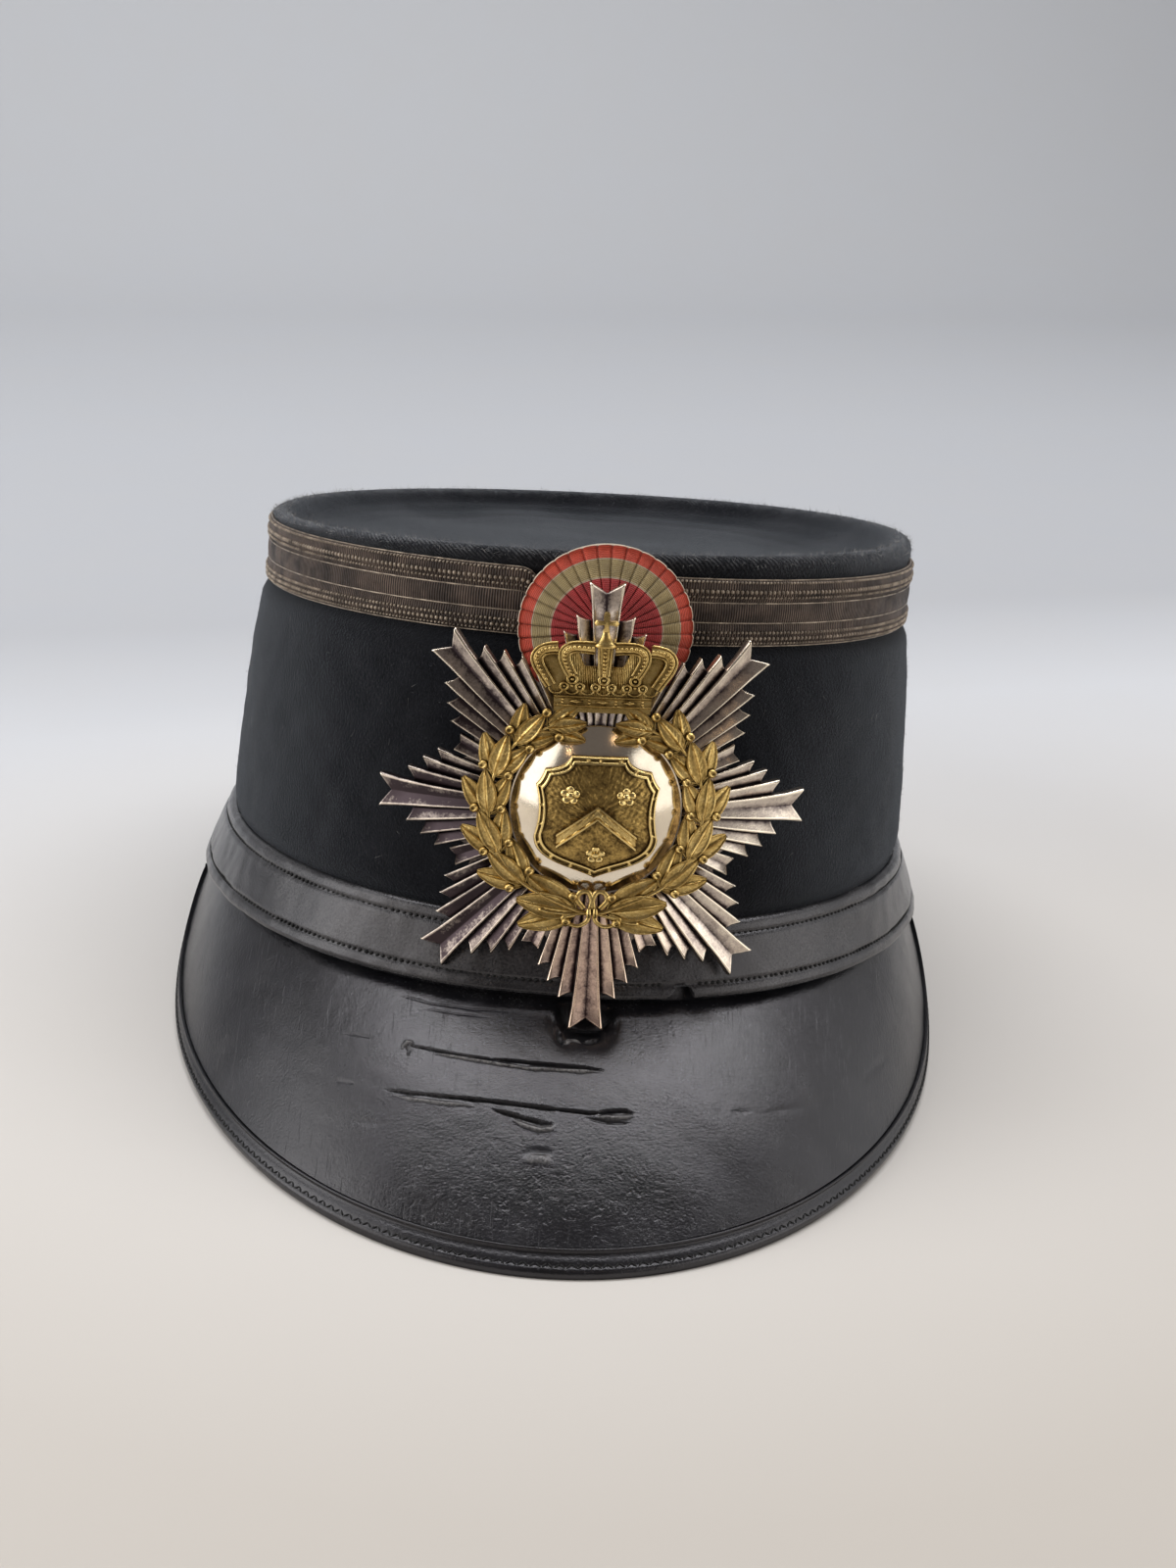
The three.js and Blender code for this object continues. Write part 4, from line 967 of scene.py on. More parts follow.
def band_point(bearing, share, inwards):
    close = smoothstep(np.abs(signed_degrees(bearing)), *BAND_FLARE_ENDS)
    foot = (between(BAND_BOTTOM[i], BAND_BOTTOM_BACK[i], close) for i in (1, 2))
    sizes = [between(size, top, share) - inwards for size, top in zip(foot, BAND_TOP[1:])]
    return ring_point(bearing, BAND_TOP[0] * share, *sizes)


def band_sunk(share):
    """How far the band's face lies in at its rounded edges and along its two rows of stitches."""
    edge = np.minimum(share, 1 - share) * BAND_TOP[0]
    return 0.45 * (1 - smoothstep(edge, 0, 0.7)) + 0.42 * bell(edge - BAND_STITCH_INSET, 0.42)


def above_break(share, reached):
    """Shares of the band's height, those below a break gathered at its upper edge."""
    gathered = reached - 0.02 * (1 - np.minimum(share / np.maximum(reached, 1e-6), 1))
    return np.where(share < reached, gathered, share)


def leather_band():
    columns = full_turn(720)
    shares = np.linspace(0, 1, 44)[:, None]
    past_end = BAND_BREAK.half - np.abs(np.degrees(columns) - BAND_BREAK.bearing)
    reached = BAND_BREAK.rise / BAND_TOP[0] * smoothstep(past_end, 0, 0.4)
    outside = band_point(columns, above_break(shares, reached), band_sunk(shares))
    outside = raised(outside, uneven(outside, BAND_WAVES))
    inner_shares = np.array([[1.0], [0.5], [0.0]])
    inside = band_point(columns, above_break(inner_shares, reached), BAND_LEATHER)
    grid = pressed(np.concatenate([outside, inside]))
    # Painted sheen: the rubbed grey also stands in for part of the band's sheen.
    wear = BAND_WEAR_AND_SHEEN * (1 + 0.5 * ripple(grid, 15, 9))
    return closed_ring(grid, wear=np.clip(wear, 0, 1))


def stitches(path, normals, seed, pitch, length, radius, slants):
    """Threads laid one after another along a path, each turned by the next of the slants."""
    reach = lengths(path)
    at = np.arange(pitch, reach[-1] - pitch, pitch)
    rng = np.random.default_rng(seed)
    at = at + rng.uniform(-0.08, 0.08, len(at)) * pitch
    places = read(at, reach, path)
    out = unit(read(at, reach, normals))
    along = unit(read(at + 0.2, reach, path) - places)
    turn = np.resize(slants, len(at))[:, None] + rng.uniform(-0.1, 0.1, (len(at), 1))
    thread = along * np.cos(turn) + np.cross(out, along) * np.sin(turn)
    axes = np.stack([thread * length / 2, np.cross(out, thread) * radius, out * radius], 1)
    return copies(bead(4, 8), places, axes)


def band_stitches():
    columns = np.radians(np.arange(1441) / 4)
    inset = BAND_STITCH_INSET / BAND_TOP[0]
    torn = np.abs(np.degrees(columns) - BAND_BREAK.bearing) < BAND_BREAK.half
    for share, kept, seed in ((inset, ~torn, 21), (1 - inset, True, 22)):
        rows = [band_point(columns, share + step, band_sunk(share) - 0.02) for step in (-0.01, 0, 0.01)]
        path, normal = rows[1], outwards(np.stack(rows))[1]
        sewn = kept & (path[:, 2] > surface_height(path[:, 1]) + 1)
        for run in np.split(np.arange(len(columns)), np.flatnonzero(np.diff(sewn)) + 1):
            if sewn[run[0]] and len(run) > 8:
                yield stitches(path[run], normal[run], seed, **BAND_STITCH)


def peak_edge(bearing):
    x = PEAK_EDGE.half_width * np.sin(bearing)
    y = between(PEAK_EDGE.centre, PEAK_EDGE.front, np.cos(bearing))
    past = np.abs(np.degrees(bearing)) - PEAK_EDGE_RISE.start
    share = np.clip(past / (PEAK_END - PEAK_EDGE_RISE.start), 0, 1)
    rise = PEAK_EDGE_RISE.height * share ** PEAK_EDGE_RISE.power
    return points_of(x, y, surface_height(y) + BINDING_ABOVE_SURFACE + rise)


def peak_point(bearing, share):
    """Points of the peak's upper face, from 0 at its root to 1 at its outer edge."""
    bearing, share = np.broadcast_arrays(bearing, share)
    root = ring_point(bearing * PEAK_ROOT_END / PEAK_END, *PEAK_ROOT)
    bulge = PEAK_BULGE * np.maximum(np.cos(bearing), 0) * np.sin(np.pi * share)
    return between(root, peak_edge(bearing), share[..., None]) + points_of(0, -0.6 * bulge, 0.8 * bulge)


def peak_normal(bearing, share, step=0.01):
    across = peak_point(bearing + step, share) - peak_point(bearing - step, share)
    along = peak_point(bearing, share + step) - peak_point(bearing, share - step)
    return unit(np.cross(along, across))


def binding_start(bearing):
    """Share of the way out at which the binding begins."""
    length = np.linalg.norm(peak_point(bearing, 1.0) - peak_point(bearing, 0.0), axis=-1)
    return 1 - np.minimum(BINDING_WIDTH / length, 0.6)


def steps(*runs):
    """Values from runs of a first value, a last value and a count, up to the last of all."""
    return np.concatenate([*(np.linspace(*run, endpoint=False) for run in runs), [runs[-1][1]]])


# Closest together where the leather is cut
PEAK_BEARINGS = np.radians(steps((-PEAK_END, -36, 70), (-36, 26, 280), (26, PEAK_END, 80)))
PEAK_ROW_RUNS = [(0, 0.07, 10), (0.075, 0.6, 150), (0.612, 1, 34)]
PEAK_ROWS = np.concatenate([np.linspace(*run) for run in PEAK_ROW_RUNS])
PEAK_UNDER_ROWS = [-1, 165, 90, 20, 0]


def cut_relief(x, y, width, depth, path):
    """Height change, rubbed share and opening of a tapering cut, or of a raised lip; the opening is later
    painted dark as shade.
    """
    nearest = np.full(x.shape, np.inf)
    along = np.zeros(x.shape)
    reached = 0.0
    for (x0, y0), (x1, y1) in zip(path, path[1:]):
        length = math.hypot(x1 - x0, y1 - y0)
        share = np.clip(((x - x0) * (x1 - x0) + (y - y0) * (y1 - y0)) / length**2, 0, 1)
        away = np.hypot(x - x0 - share * (x1 - x0), y - y0 - share * (y1 - y0))
        along = np.where(away < nearest, reached + share * length, along)
        nearest = np.minimum(nearest, away)
        reached += length
    ends = smoothstep(np.minimum(along, reached - along), 0, min(4, reached / 4))
    taper = 0.35 + 0.65 * ends
    ragged = ripple(points_of(x, y, 0), 5, 31)
    groove = bell(nearest, width * taper * (1 + 0.15 * ragged))
    rubbed = groove * min(1, max(0, -3 * depth))
    opened = smoothstep(groove, 0.45, 0.95) * min(1, max(0, 2.2 * depth - 0.35))
    return -depth * taper * groove, rubbed * taper, opened * taper


def peak():
    shares = PEAK_ROWS[:, None] * binding_start(PEAK_BEARINGS)
    top = peak_point(PEAK_BEARINGS, shares)
    normal = peak_normal(PEAK_BEARINGS, shares)
    x, y = top[..., 0], top[..., 1]
    away = ((x - DENT.x) / DENT.wide) ** 4 + ((y - DENT.y) / DENT.long) ** 2
    top = top - normal * (DENT.depth * np.exp(-away) * smoothstep(shares, 0, 0.04))[..., None]
    away = ((x - PITTED.x) / PITTED.wide) ** 2 + ((y - PITTED.y) / PITTED.long) ** 2
    face = {"wear": PEAK_WEAR * smoothstep(ripple(top, 11, 8), 0.2, 1.2), "torn": 0 * x}
    face |= {"pitted": bell(away, 1), "face": np.ones(x.shape)}
    relief = uneven(top, PEAK_WAVES)
    for width, depth, path in PEAK_CUTS:
        change, rubbed, opened = cut_relief(x, y, width, depth, path)
        relief = relief + change
        face["wear"] = face["wear"] + rubbed
        # The open part of each cut is painted near black later, as its shade.
        face["torn"] = np.maximum(face["torn"], opened)
    upper = top + normal * (relief * smoothstep(shares, 0, 0.03))[..., None]
    flange = ring_point(PEAK_BEARINGS * PEAK_ROOT_END / PEAK_END, *PEAK_FLANGE)[None]
    side = points_of(np.sin(PEAK_BEARINGS), -np.cos(PEAK_BEARINGS), 0)
    normal[0] = unit(normal[0] + side)
    under = (top - normal * PEAK_LEATHER)[PEAK_UNDER_ROWS]
    grid = np.concatenate([flange, upper, under, flange - side * PEAK_LEATHER])
    around = ((1, len(under) + 1), (0, 0))
    return capped(grid, **{name: np.pad(np.clip(values, 0, 1), around) for name, values in face.items()})


def binding_frame(bearing):
    """Inner edge, direction outwards with the binding's width as its length, and normal."""
    start = binding_start(bearing)
    inner = peak_point(bearing, start)
    normal = peak_normal(bearing, start)
    out = peak_point(bearing, np.ones_like(start)) - inner
    width = np.linalg.norm(out, axis=-1, keepdims=True) - BINDING_GAP
    out = unit(out)
    return inner + out * BINDING_GAP - normal * PEAK_LEATHER / 2, out * width, normal


def binding_points(bearings, across, over):
    inner, out, normal = binding_frame(bearings)
    return inner + across[:, None, None] * out + over[:, None, None] * normal * BINDING_THICKNESS


def peak_binding():
    bearings = np.radians(np.linspace(-PEAK_END, PEAK_END, 700))
    return capped(pressed(binding_points(bearings, *BINDING_PROFILE.T)))


def binding_stitches():
    bearings = np.radians(np.linspace(-PEAK_END + 0.5, PEAK_END - 0.5, 700))
    path = binding_points(bearings, *np.array(BINDING_SEAM)[:, None])[0]
    return stitches(path, binding_frame(bearings)[2], 23, **BINDING_STITCH)


# Badge, drawn on a plane with X across, Y up and Z outwards

def on_front(shapes, bend, back, height, lean, roll):
    """The shapes joined, bent to a radius and set against the front of the crown."""
    stand = Matrix.Rotation(math.radians(FRONT_BEARING), 4, "Z")
    stand @= Matrix.Translation((0, -back, height))
    stand @= Matrix.Rotation(math.radians(90 - lean), 4, "X") @ Matrix.Rotation(math.radians(roll), 4, "Z")
    stand = np.array(stand)
    joined = join(shapes)
    x, y, z = joined.points.T
    out, turn = bend + z, x / bend
    curved = points_of(out * np.sin(turn), y, out * np.cos(turn) - bend)
    joined.points = curved @ stand[:3, :3].T + stand[:3, 3]
    return joined


def on_badge(*shapes):
    return on_front(shapes, **BADGE_SEAT)


def ray(middle, half, reaches, kept, shades, flare=0.0):
    """One ray with an angle from its trough, a reach, a share of height and a shade at each fold."""
    bearing = middle + half * (1 + flare * RAY_STATIONS**8)
    radius = between(RAY_ROOT, reaches, RAY_STATIONS)
    rise = RAY_BASE + kept * RAY_SLOPE * np.radians(np.abs(half)) * radius
    rise[-3:] += RAY_END_LIP
    turn = np.radians(bearing)
    # Painted shade darkens the left side, the top and most of all the lower left; the ends gain a painted
    # highlight besides their rubbed wear.
    dimmed = np.maximum(np.cos(turn - math.radians(DARKEST_PAINTED_SHADE.bearing)), 0) ** 2
    shade = shades + RAY_TARNISH * math.sin(37 * middle + 11 * half.sum()) + LEFT_PAINTED_SHADE * np.sin(turn)
    shade = shade - TOP_PAINTED_SHADE * np.maximum(np.cos(turn), 0) ** 4 - DARKEST_PAINTED_SHADE.shade * dimmed
    shade[-2:] += END_WEAR_AND_HIGHLIGHT
    coppery = np.maximum(-np.cos(turn), 0) ** 8
    low = polar(bearing, radius, RAY_FOOT)
    return slab(polar(bearing, radius, rise), low, shade=shade, coppery=coppery)


def star_plate():
    both_sides = np.vstack([FOLDS[:0:-1] * (-1, 1, 1), FOLDS]).T
    rays = []
    rim = []
    for middle in np.arange(LONG_RAYS) * 360 / LONG_RAYS:
        valley = middle + 180 / LONG_RAYS
        share, kept, shades = both_sides
        for bearing, size in ((middle, LONG_RAY), (valley, VALLEY_RAY)):
            notched = size.reach - size.notch * (1 - np.abs(share))
            rays.append(ray(bearing, size.half_angle * share, notched, kept, shades, size.flare))
        rim.append((middle, LONG_RAY.reach - LONG_RAY.notch - 1))
        rim += [(valley - 4, STAR_VALLEY), (valley, VALLEY_RAY.reach - 2), (valley + 4, STAR_VALLEY)]
        share, kept, shades = FOLDS.T
        for side in (-1, 1):
            for first, last, reach, slant in STEP_RAYS:
                trough = middle + side * first
                pointed = reach - slant * (1 - share**2)
                rays.append(ray(trough, side * (last - first) * share, pointed, kept, shades))
                rim.append((trough - side * 0.2, reach - slant - 1.5))
    bearings, reaches = np.array(sorted(rim)).T
    hole = np.full(len(rim), STAR_HOLE)
    outline = polar(bearings, np.stack([hole, reaches, reaches, hole]), 0)
    outline[2:, :, 2] = STAR_SHEET
    return [body(outline, (0, 0, 0), (0, 0, STAR_SHEET)), *rays]


def boss_height(radius):
    """Height of the boss over the star's back at a distance from its middle."""
    sphere = (BOSS.radius ** 2 + BOSS.height ** 2) / (2 * BOSS.height)
    drop = sphere - np.sqrt(sphere**2 - np.minimum(radius, BOSS.radius) ** 2)
    return BOSS.base + BOSS.height - drop


def boss():
    radii = np.linspace(0, BOSS.radius - BOSS.lip, 40)
    edge, base = BOSS.radius, BOSS.base
    lip = [(edge, base + BOSS.lip), (edge, base), (0, base)]
    return turned([*zip(radii, boss_height(radii)), *lip], 120)


def over_boss(x, y, z):
    """Points of the badge's plane, raised to lie over the boss."""
    return points_of(x, y, z + boss_height(np.hypot(x, y)) + BOSS_CLEARANCE)


# Wreath: two branches of veined leaves, ringed berries and a bow

def leaf(length):
    """A pointed leaf along +Y with raised edges, a midrib and engraved side veins."""
    along = np.linspace(0, 1, 26)[1:-1, None]
    across = np.sin(np.linspace(-np.pi / 2, np.pi / 2, 21))[None]
    half = 0.5 * LEAF_WIDTH * length * np.sin(np.pi * along**0.85) ** 0.8
    side = np.abs(across)
    cupped = 0.42 + 0.3 * bell(side - 0.92, 0.09) + 0.42 * bell(side, 0.1)
    veins = 0.09 * np.sin(2 * np.pi * (along * length - 1.4 * side * half) / LEAF_VEIN_PITCH)
    veins = veins * smoothstep(side, 0.1, 0.25) * (1 - smoothstep(side, 0.7, 0.85))
    rise = LEAF_HEIGHT * (cupped + veins) * np.sin(np.pi * along) ** 0.35
    top = points_of(across * half, along * length, rise)
    under = top[:, ::-5] * (1, 1, 0)
    shade = np.append(1.5 * (cupped[0] - 0.58), np.zeros(under.shape[1]))
    return capped(np.concatenate([top, under], 1).transpose(1, 0, 2), shade=shade[:, None])


def from_foot(side, bearing, radius):
    """Place of the wreath by bearing from its foot, on the left or right side."""
    turn = math.radians(bearing)
    return side * radius * math.sin(turn), -radius * math.cos(turn)


def wreath():
    base, foot = WREATH.base, -WREATH.radius
    stem_z = base + 0.45
    for side in (-1, 1):
        stops = [(0, foot)]
        for bearing, radius, length, splays in SPRIGS:
            x, y = from_foot(side, bearing, radius)
            stops.append((x, y))
            for lift, splay in zip(LEAF_LIFTS, splays):
                yield placed(leaf(length), x, y, base + lift, -side * (90 - bearing - splay))
            for offset in BERRY_OFFSETS:
                far_x, far_y = from_foot(side, bearing + BERRY_AHEAD, radius + offset)
                yield placed(turned(BERRY), far_x, far_y, base + 0.25, size=BERRY_SIZE)
                stalk = [(x, y), ((x + far_x) / 2, (y + far_y) / 2 + 0.2), (far_x, far_y)]
                yield tube(flat_curve(stalk, stem_z, 8), 0.2, 6)
        stops.append(from_foot(side, *STEM_END))
        yield tube(flat_curve(stops, stem_z, 90), np.linspace(0.55, 0.3, 90))
        for loop, width in BOW_LOOPS:
            path = flat_curve(np.array(loop) + (0, foot), base + 0.9, 40, side)
            yield tube(path, width, 10, flatten=0.55)
    for tail in BOW_TAILS:
        path = flat_curve(np.array(tail) + (0, foot), base + 0.7, 30)
        yield tube(path, np.interp(np.linspace(0, 1, 30), [0, 0.7, 0.92, 1], [0.3, 0.42, 0.5, 0.08]))
    for x in KNOT_BANDS:
        yield tube([(x, foot + up, z) for up, z, radius in KNOT], [radius for up, z, radius in KNOT])


# Shield: a segmented double border round a stippled field, with a chevron between three rosettes

def shield_outline(count):
    """Points of the outline, clockwise from the middle of its top, and its length."""
    half_size = np.array([SHIELD.across, SHIELD.tall]) / 2
    t = np.linspace(0, 1, 40)[:, None]
    path = [[(0, half_size[1])]]
    for stops in SHIELD_CURVES:
        ends = np.array(stops) * half_size
        while len(ends) > 1:
            ends = [between(a, b, t) for a, b in zip(ends, ends[1:])]
        path.append(ends[0][1:])
    right = np.vstack(path)
    whole = np.vstack([right, right[-2::-1] * (-1, 1)])
    length = lengths(whole)
    return read(np.linspace(0, length[-1], count, endpoint=False), length, whole), length[-1]


def shield():
    plate, count = SHIELD.plate, SHIELD.columns
    outline, length = shield_outline(count)
    at = np.arange(count) * length / count
    bar = bell(((at / BORDER_SEGMENT + 0.5) % 1 - 0.5) * BORDER_SEGMENT, 0.28)
    profile = [(0.5, 0), (1, 0)]
    profile += [(share, plate + height) for share, height in SHIELD_BORDER]
    profile += [(share, plate) for share in np.linspace(FIELD_EDGE, 0.03, 34)]
    rings = []
    shades = []
    for share, height in profile:
        x, y = (outline * share - (0, SHIELD.below)).T
        z = np.full(count, height)
        shade = np.full(count, 0.35 if height > plate + 0.4 else -0.34)
        if BORDER_CHANNEL[0] < share < BORDER_CHANNEL[1]:
            z = z + 0.36 * bar
            shade = shade + 0.5 * bar
        if share <= FIELD_EDGE:
            z = z + uneven(points_of(x, y, z), STIPPLE)
        rings.append(over_boss(x, y, z))
        shades.append(shade)
    low, high = (over_boss(0, -SHIELD.below, z) for z in (0, plate))
    yield body(np.array(rings), low, high, shade=np.array(shades))
    yield chevron()
    for x, y in ROSETTE_PLACES:
        yield rosette(x, y)


def chevron():
    """A bent bar with raised edges and a slanting hatch."""
    x = np.linspace(-CHEVRON.half, CHEVRON.half, 121)[None]
    across = np.concatenate([-CHEVRON_ROWS, [0], CHEVRON_ROWS[::-1]])[:, None]
    bar = CHEVRON.bar
    y = between(CHEVRON.peak, CHEVRON.foot, np.abs(x) / CHEVRON.half) + (across - 1) * bar / 2
    face = np.abs(across) < CHEVRON.face
    hatch = 0.08 * np.sin(2 * np.pi * (np.abs(x) + 0.8 * y) / CHEVRON.hatch) * face
    z = SHIELD.plate + np.where(face, 0.6, 0.95) + hatch
    z[[0, -1]] = SHIELD.plate / 2
    return capped(over_boss(x, y, z), shade=np.where(face, 0.15, 0.6))


def rosette(x, y):
    """A five-petalled flower with a round middle."""
    turn = np.linspace(0, 2 * np.pi, 60, endpoint=False)
    petal = np.abs(np.cos(2.5 * turn))
    share = np.array([1, 1, 0.9, 0.7, 0.5, 0.38, 0.3, 0.15])[:, None]
    height = np.array([0.3, 0.9, 1.15, 1.2, 1.0, 0.95, 1.3, 1.4])[:, None]
    radius = ROSETTE_RADIUS * share * np.where(share > 0.4, 0.72 + 0.28 * petal**0.7, 1)
    crease = 0.25 * (1 - petal) * (share > 0.4)
    grid = over_boss(x + radius * np.sin(turn), y + radius * np.cos(turn), height - crease)
    foot, tip = (over_boss(x, y, z) for z in (0.3, 1.42))
    return body(grid, foot, tip, shade=0.55 - 2 * crease)


# Crown ornament: a jewelled circlet, trefoils, beaded arches, orb and cross

def arch(stops, mirror, beads):
    """An arch between two raised lines, with beads along its middle that shrink towards its foot."""
    path = flat_curve(stops, ARCH_LIFT, 60, mirror)
    side = unit(np.cross(unit(np.gradient(path, axis=0)), (0, 0, 1.0)))
    share = np.linspace(0, 1, 60)
    half = between(*ARCH_HALF, share)
    yield tube(path - (0, 0, 0.4), half, 12, flatten=0.55)
    for edge in (-1, 1):
        yield tube(path + edge * side * half[:, None] * 0.92 + (0, 0, 0.1), 0.24)
    at = np.linspace(0.1, 0.97, beads)
    sizes = np.interp(at, [0, 0.6, 1], [0.34, 0.5, 0.36])
    yield copies(bead(), read(at, share, path) + (0, 0, 0.2), sizes[:, None, None] * np.eye(3))


def hoop(radius, thick):
    """A ring lying in the badge's plane round a small bead."""
    turn = np.linspace(0, 2 * np.pi, 24, endpoint=False)
    section = np.linspace(0, 2 * np.pi, 8, endpoint=False)[:, None]
    out = radius + thick * np.cos(section)
    ring = points_of(out * np.cos(turn), out * np.sin(turn), thick * np.sin(section))
    return join([closed_ring(ring), placed(bead(4, 10), 0, 0, -0.1, size=0.45 * radius)])


def stepped(outline, middle, levels, start, end):
    """A body of rings of one outline, sized about a middle at each of its levels."""
    size, z = np.array(levels).T[:, :, None]
    x, y = (between(middle[i], outline[:, i], size) for i in (0, 1))
    return body(points_of(x, y, z), (*middle, start), (*middle, end))


def lozenge(half_width, half_height, rise):
    corners = np.array([(half_width, 0), (0, half_height), (-half_width, 0), (0, -half_height)])
    return stepped(corners, np.zeros(2), ((1, 0), (1, 0.2), (0.55, rise)), 0, rise * 1.15)


def mirrored_bar(right, low, high):
    """A bevelled bar between two heights, from the right half of its outline."""
    outline = np.vstack([right, [(-x, y) for x, y in right[::-1]]])
    return stepped(outline, outline.mean(0), ((1, low), (1, high - 0.3), (0.84, high)), low, high)


def crown_panel():
    """Hatched ground behind the arches, flaring upwards from the circlet."""
    columns = np.linspace(-1, 1, 421)[None]
    share = np.linspace(0, 1, 14)[:, None]
    x = columns * between(CROWN_PANEL.foot, CROWN_PANEL.head, share**0.8)
    closed = smoothstep(np.abs(columns) * CROWN_PANEL.head, *CROWN_PANEL.window)
    y = between(CIRCLET.tall - 0.6, between(CROWN_PANEL.middle, CROWN_PANEL.top, closed), share)
    front = points_of(x, y, 0.55 + 0.09 * np.sin(2 * np.pi * x / HATCH_PITCH))
    return capped(np.concatenate([front, front[[-1, 0]] * (1, 1, 0)]), shade=0.05)


def circlet():
    half, tall = CIRCLET.half, CIRCLET.tall
    y = np.array([-1.4, -1.4, -0.1, 0, tall, tall + 0.1, tall + 0.1])[:, None]
    z = np.array([0, 0.5, 0.5, 1.0, 1.0, 0.4, 0])[:, None]
    yield capped(points_of(np.linspace(-half, half, 60)[None], y, z))
    for height, radius in ((0.25, 0.2), (0.62, 0.12), (tall - 0.55, 0.12), (tall - 0.15, 0.22)):
        yield tube(points_of(np.linspace(-half, half, 40), height, 1.05), radius)
    for index in (-1, 0, 1):
        yield placed(lozenge(1.5, 0.5, 0.5), index * JEWEL_PITCH, tall / 2, 1.0)
    for index in (-1.5, -0.5, 0.5, 1.5):
        for offset in (-0.33, 0.33):
            yield placed(bead(4, 10), index * JEWEL_PITCH, tall / 2 + offset, 1.05, size=0.27)


def crown_parts():
    yield crown_panel()
    yield from circlet()
    yield from arch(MIDDLE_ARCH, 1, 8)
    yield mirrored_bar(CROSS_UPRIGHT, 0.6, 1.75)
    yield mirrored_bar(CROSS_BAR, 0.6, 1.7)
    for mirror in (-1, 1):
        yield from arch(INNER_ARCH, mirror, 13)
        yield from arch(OUTER_ARCH, mirror, 13)
    for x in TREFOIL_PITCH * np.arange(-1, 2):
        for side, y, z, radius, thick in TREFOIL_RINGS:
            yield placed(hoop(radius, thick), x + side * TREFOIL_PITCH / 4, y, z)
        for y, size in TREFOIL_BALLS:
            yield placed(bead(), x, y, 1.2, size=size)
    turn = np.linspace(np.pi * 1.05, np.pi * 1.95, 16)
    for x in TREFOIL_PITCH / 2 * np.arange(-3, 4):
        loop = SCALLOP.radius * np.stack([np.cos(turn), np.sin(turn)])
        yield tube(points_of(x + loop[0], SCALLOP.height + loop[1], 1.0), 0.2)
    yield copies(turned(ORB, 24), ORB_PLACE, ORB_AXES)


def crown_ornament():
    joined = join(crown_parts())
    joined.points = joined.points * CROWN_SIZE + CROWN_SEAT
    return joined


def cockade():
    edge, columns = COCKADE.radius, COCKADE.columns
    radii = np.concatenate([np.linspace(COCKADE.hole, edge - 0.6, 44), edge - EDGE_ROLL])[:, None]
    share = radii / edge
    rise = between(COCKADE.middle, COCKADE.edge, share**2)
    rise[-len(EDGE_ROLL):, 0] += EDGE_RISE
    turn = np.arange(columns) * 360 / columns
    phase = (turn * COCKADE.pleats / 360) % 1
    rounded = 1 - np.abs(2 * phase - 1) ** 5
    outer = smoothstep(radii, 10.2, 11.4)
    fold = (0.55 - 0.15 * outer) * rounded + (0.1 + 0.3 * outer) * (0.5 - phase)
    scallop = 1 - 0.012 * (1 - rounded) * smoothstep(share, 0.9, 1)
    free = smoothstep(share, 0.03, 0.35) * (1 - 0.35 * smoothstep(share, 0.96, 1))
    over = polar(turn, radii * scallop, rise + (fold - 0.5) * free)
    back_radii, back_heights = COCKADE_BACK.T[:, :, None]
    grid = np.concatenate([over, polar(turn, back_radii, back_heights)])
    # Mark for the painted shade between the pleats; the flat back gets none.
    fold_shade = np.vstack([rounded + 0 * share, np.ones((len(COCKADE_BACK), columns))])
    return body(grid, (0, 0, COCKADE.middle), (0, 0, 0), radius=np.vstack([radii, back_radii]), fold=fold_shade)


# Loose fibres of the cloth

def fibres(face, first, last, rows, count, length, lift, seed):
    """Fine tapered hairs rooted over part of a face and lying mostly along it."""
    grid = face(np.linspace(first, last, rows))
    rng = np.random.default_rng(seed)
    row = rng.integers(0, len(grid) - 1, count)
    column = rng.integers(0, grid.shape[1], count)
    up, along = rng.uniform(0, 1, (2, count, 1))
    beside = (column + 1) % grid.shape[1]
    low = between(grid[row, column], grid[row, beside], along)
    roots = between(low, between(grid[row + 1, column], grid[row + 1, beside], along), up)
    out = outwards(grid)[row, column]
    loose = rng.normal(size=(count, 3))
    flat = unit(loose - (loose * out).sum(-1, keepdims=True) * out)
    hair = unit(flat + lift * rng.uniform(0.2, 1, (count, 1)) * out)
    hair = hair * length * rng.uniform(0.4, 1, (count, 1))
    side = unit(np.cross(hair, out))
    angle = np.array([0, 2.1, 4.2])
    size = np.array([[1], [0.4]])
    cone = body(points_of(size * np.sin(angle), size * np.cos(angle), 1 - size), (0, 0, 0), (0, 0, 1))
    axes = np.stack([side * FIBRE_RADIUS, unit(np.cross(side, hair)) * FIBRE_RADIUS, hair], 1)
    return copies(cone, roots, axes)


def nap():
    return join([fibres(wall_face, *WALL_NAP), fibres(top_face, *RIM_NAP)])


def lint():
    """Pale fluff along the rim's crest and a few stray hairs on the wall."""
    rim = [fibres(top_face, *CREST_LINT), fibres(top_face, *CREST_STRAYS)]
    return join([*rim, fibres(wall_face, *WALL_STRAYS)])


piece("crown_side_cloth", crown_side(), WOOL, "crown_side")
piece("crown_top_cloth", crown_top(), TOP_WOOL, "crown_top")
piece("cloth_nap", nap(), NAP)
piece("cloth_lint", lint(), LINT)
piece("lace_braid", lace_band(), METAL_LACE, "lace_band")
piece("lace_cords", join(lace_cords()), METAL_CORD)
piece("band_stitches", join(band_stitches()), THREAD)
piece("binding_stitches", binding_stitches(), THREAD)
piece("band_leather", leather_band(), LEATHER, "leather_band")
piece("peak_leather", peak(), LEATHER, "peak")
piece("binding_leather", peak_binding(), LEATHER, "peak_binding")
piece("star_rays", on_badge(*star_plate()), SILVER, "star_plate", crease=75)
piece("boss_dome", on_badge(boss()), MIRROR, "boss", crease=40)
piece("wreath_leaves", on_badge(*wreath()), GILT, "wreath", crease=50)
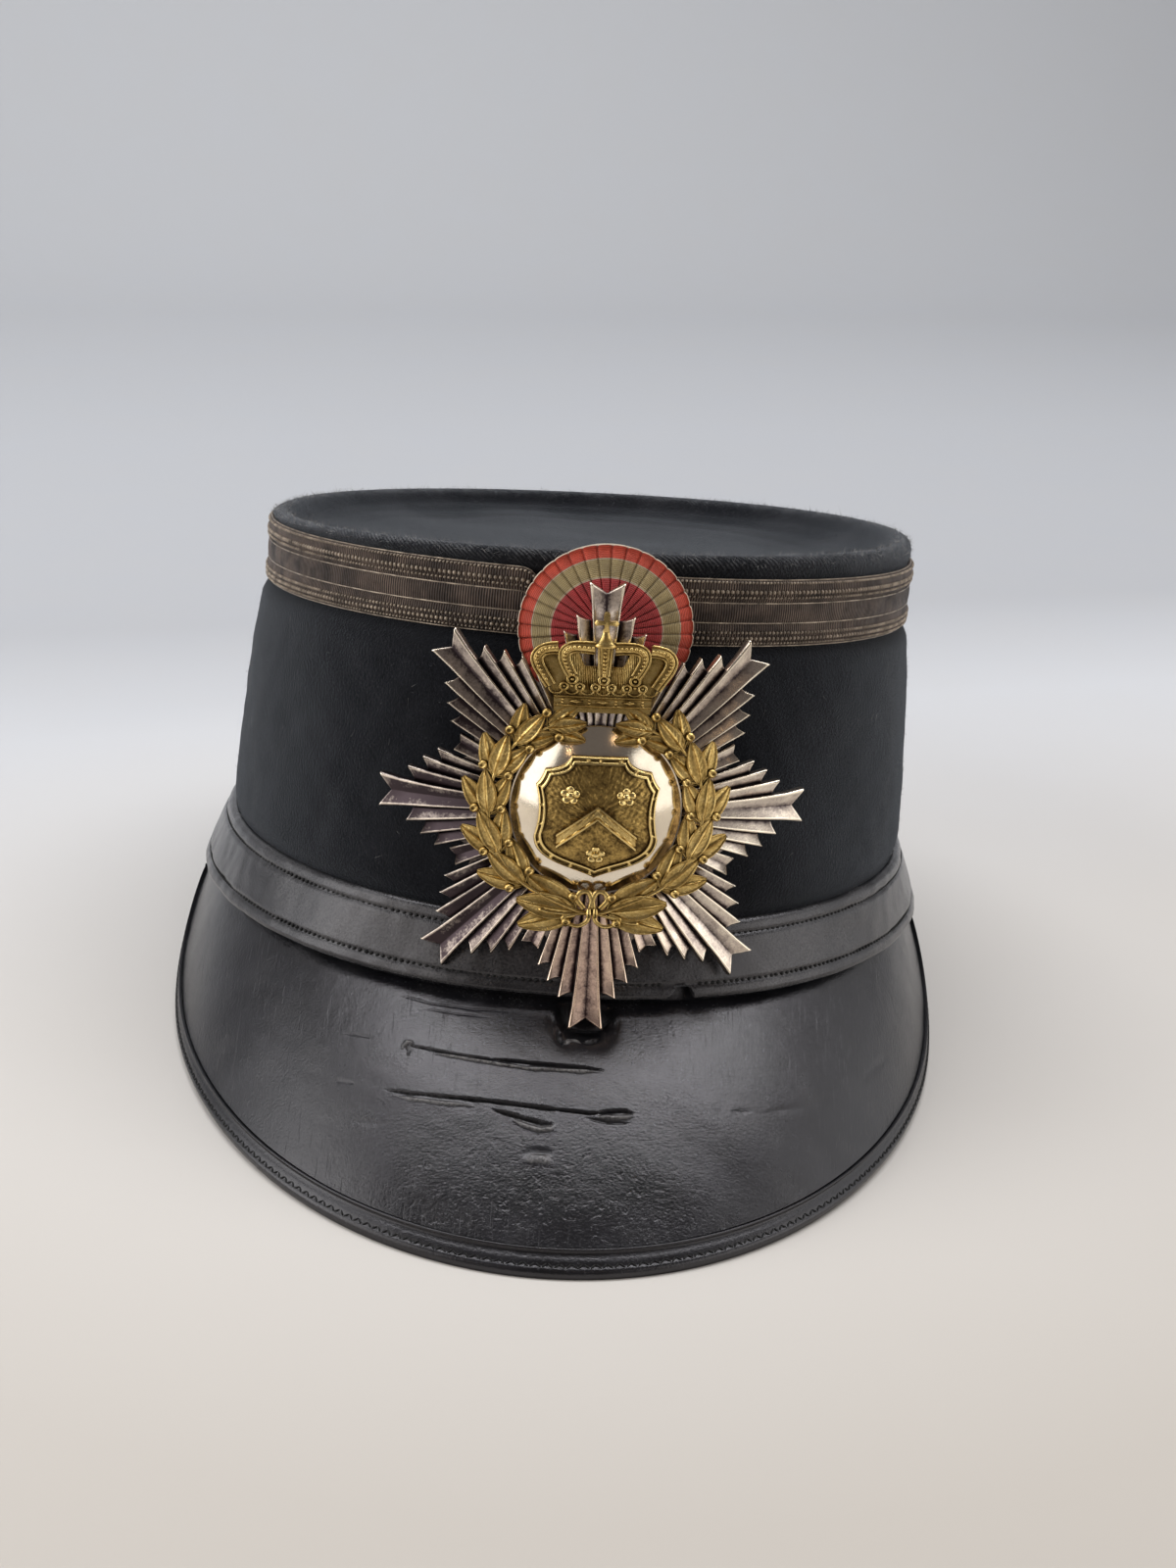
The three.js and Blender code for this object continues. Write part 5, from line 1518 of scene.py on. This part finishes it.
piece("shield_relief", on_badge(*shield()), GILT, "shield", crease=50)
piece("crown_arches", on_badge(crown_ornament()), GILT, "crown_ornament", crease=50)
piece("cockade_pleats", on_front([cockade()], **COCKADE_SEAT), RIBBON, "cockade", crease=50)
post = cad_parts["badge_post"]
post.data.materials.clear()
post.data.materials.append(SILVER)


# Camera, floor and light

def linked(name, data):
    made = bpy.data.objects.new(name, data)
    bpy.context.collection.objects.link(made)
    return made


def camera():
    lens = bpy.data.cameras.new("camera")
    for key, value in LENS.items():
        setattr(lens, key, value)
    made = linked("camera", lens)
    turn = Matrix((RIGHT, UP, -LOOKS_ALONG)).transposed()
    made.matrix_world = Matrix.Translation(CAMERA_AT) @ turn.to_4x4()
    bpy.context.scene.camera = made


def paper_material():
    """Paper that is warm in front, cooler behind and darker there as painted shade, and palest round the
    hat as painted light where the hat's shadow falls.
    """
    paint = Paint("paper", Roughness=0.9, Specular_IOR_Level=0.2)
    depth = paint.add("SeparateXYZ", [paint.place], "Y")
    tone = paint.ramp(paint.grade(depth, *PAPER_REACH), PAPER)
    mottle = paint.grade(paint.noise(35, 3), 0.3, 0.7, 0.0, 0.06)
    mottled = paint.mix(mottle, tone, (0.6, 0.56, 0.5))
    away = paint.add("VectorMath", [paint.place], "Value", operation="LENGTH")
    # Painted light: the paper grows paler round the hat, where the hat's shadow falls.
    painted_light_round_hat = paint.grade(away, 90, 200, 0.45, 0.0)
    paint.set(Base_Color=paint.mix(painted_light_round_hat, mottled, (0.8, 0.775, 0.745)))
    return paint.material


def floor():
    """A paper sweep, level under the hat and curved up far behind it."""
    angle = np.linspace(0, np.pi / 2, 24)
    y = SWEEP.back + SWEEP.bend * np.sin(angle)
    z = SWEEP.bend * (1 - np.cos(angle))
    y = np.concatenate([[-SWEEP.front], y, y[-1:]])[:, None]
    z = np.concatenate([[0], z, [SWEEP.top]])[:, None]
    made = sheet(points_of(np.array([-SWEEP.half, SWEEP.half]), y, z))
    mesh = bpy.data.meshes.new("sweep")
    mesh.from_pydata(made.points.tolist(), [], made.faces[0].tolist())
    mesh.shade_smooth()
    mesh.materials.append(paper_material())
    sweep = linked("sweep", mesh)
    sweep.rotation_euler.z = math.radians(SWEEP.turn)
    sweep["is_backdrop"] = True


def lamp(name, place, aim, size, power, colour):
    light = bpy.data.lights.new(name, "AREA")
    light.shape = "RECTANGLE"
    light.size, light.size_y = size
    light.energy = power
    light.color = colour
    turn = (Vector(aim) - Vector(place)).to_track_quat("-Z", "Y").to_matrix()
    linked(name, light).matrix_world = Matrix.Translation(place) @ turn.to_4x4()


def lights():
    """A soft panel overhead, dimmer ones round the sides, a dark room in front and two small warm lamps."""
    world = bpy.data.worlds.new("room")
    world.use_nodes = True
    for key, value in ROOM.items():
        world.node_tree.nodes["Background"].inputs[key].default_value = value
    bpy.context.scene.world = world
    for row in LAMPS:
        lamp(*row)
    bpy.context.scene.view_settings.view_transform = "Standard"


camera()
floor()
lights()

boxes = {"cad": CAD_BOX, "visual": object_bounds()}
{name: [list(corner) for corner in box] for name, box in boxes.items()}
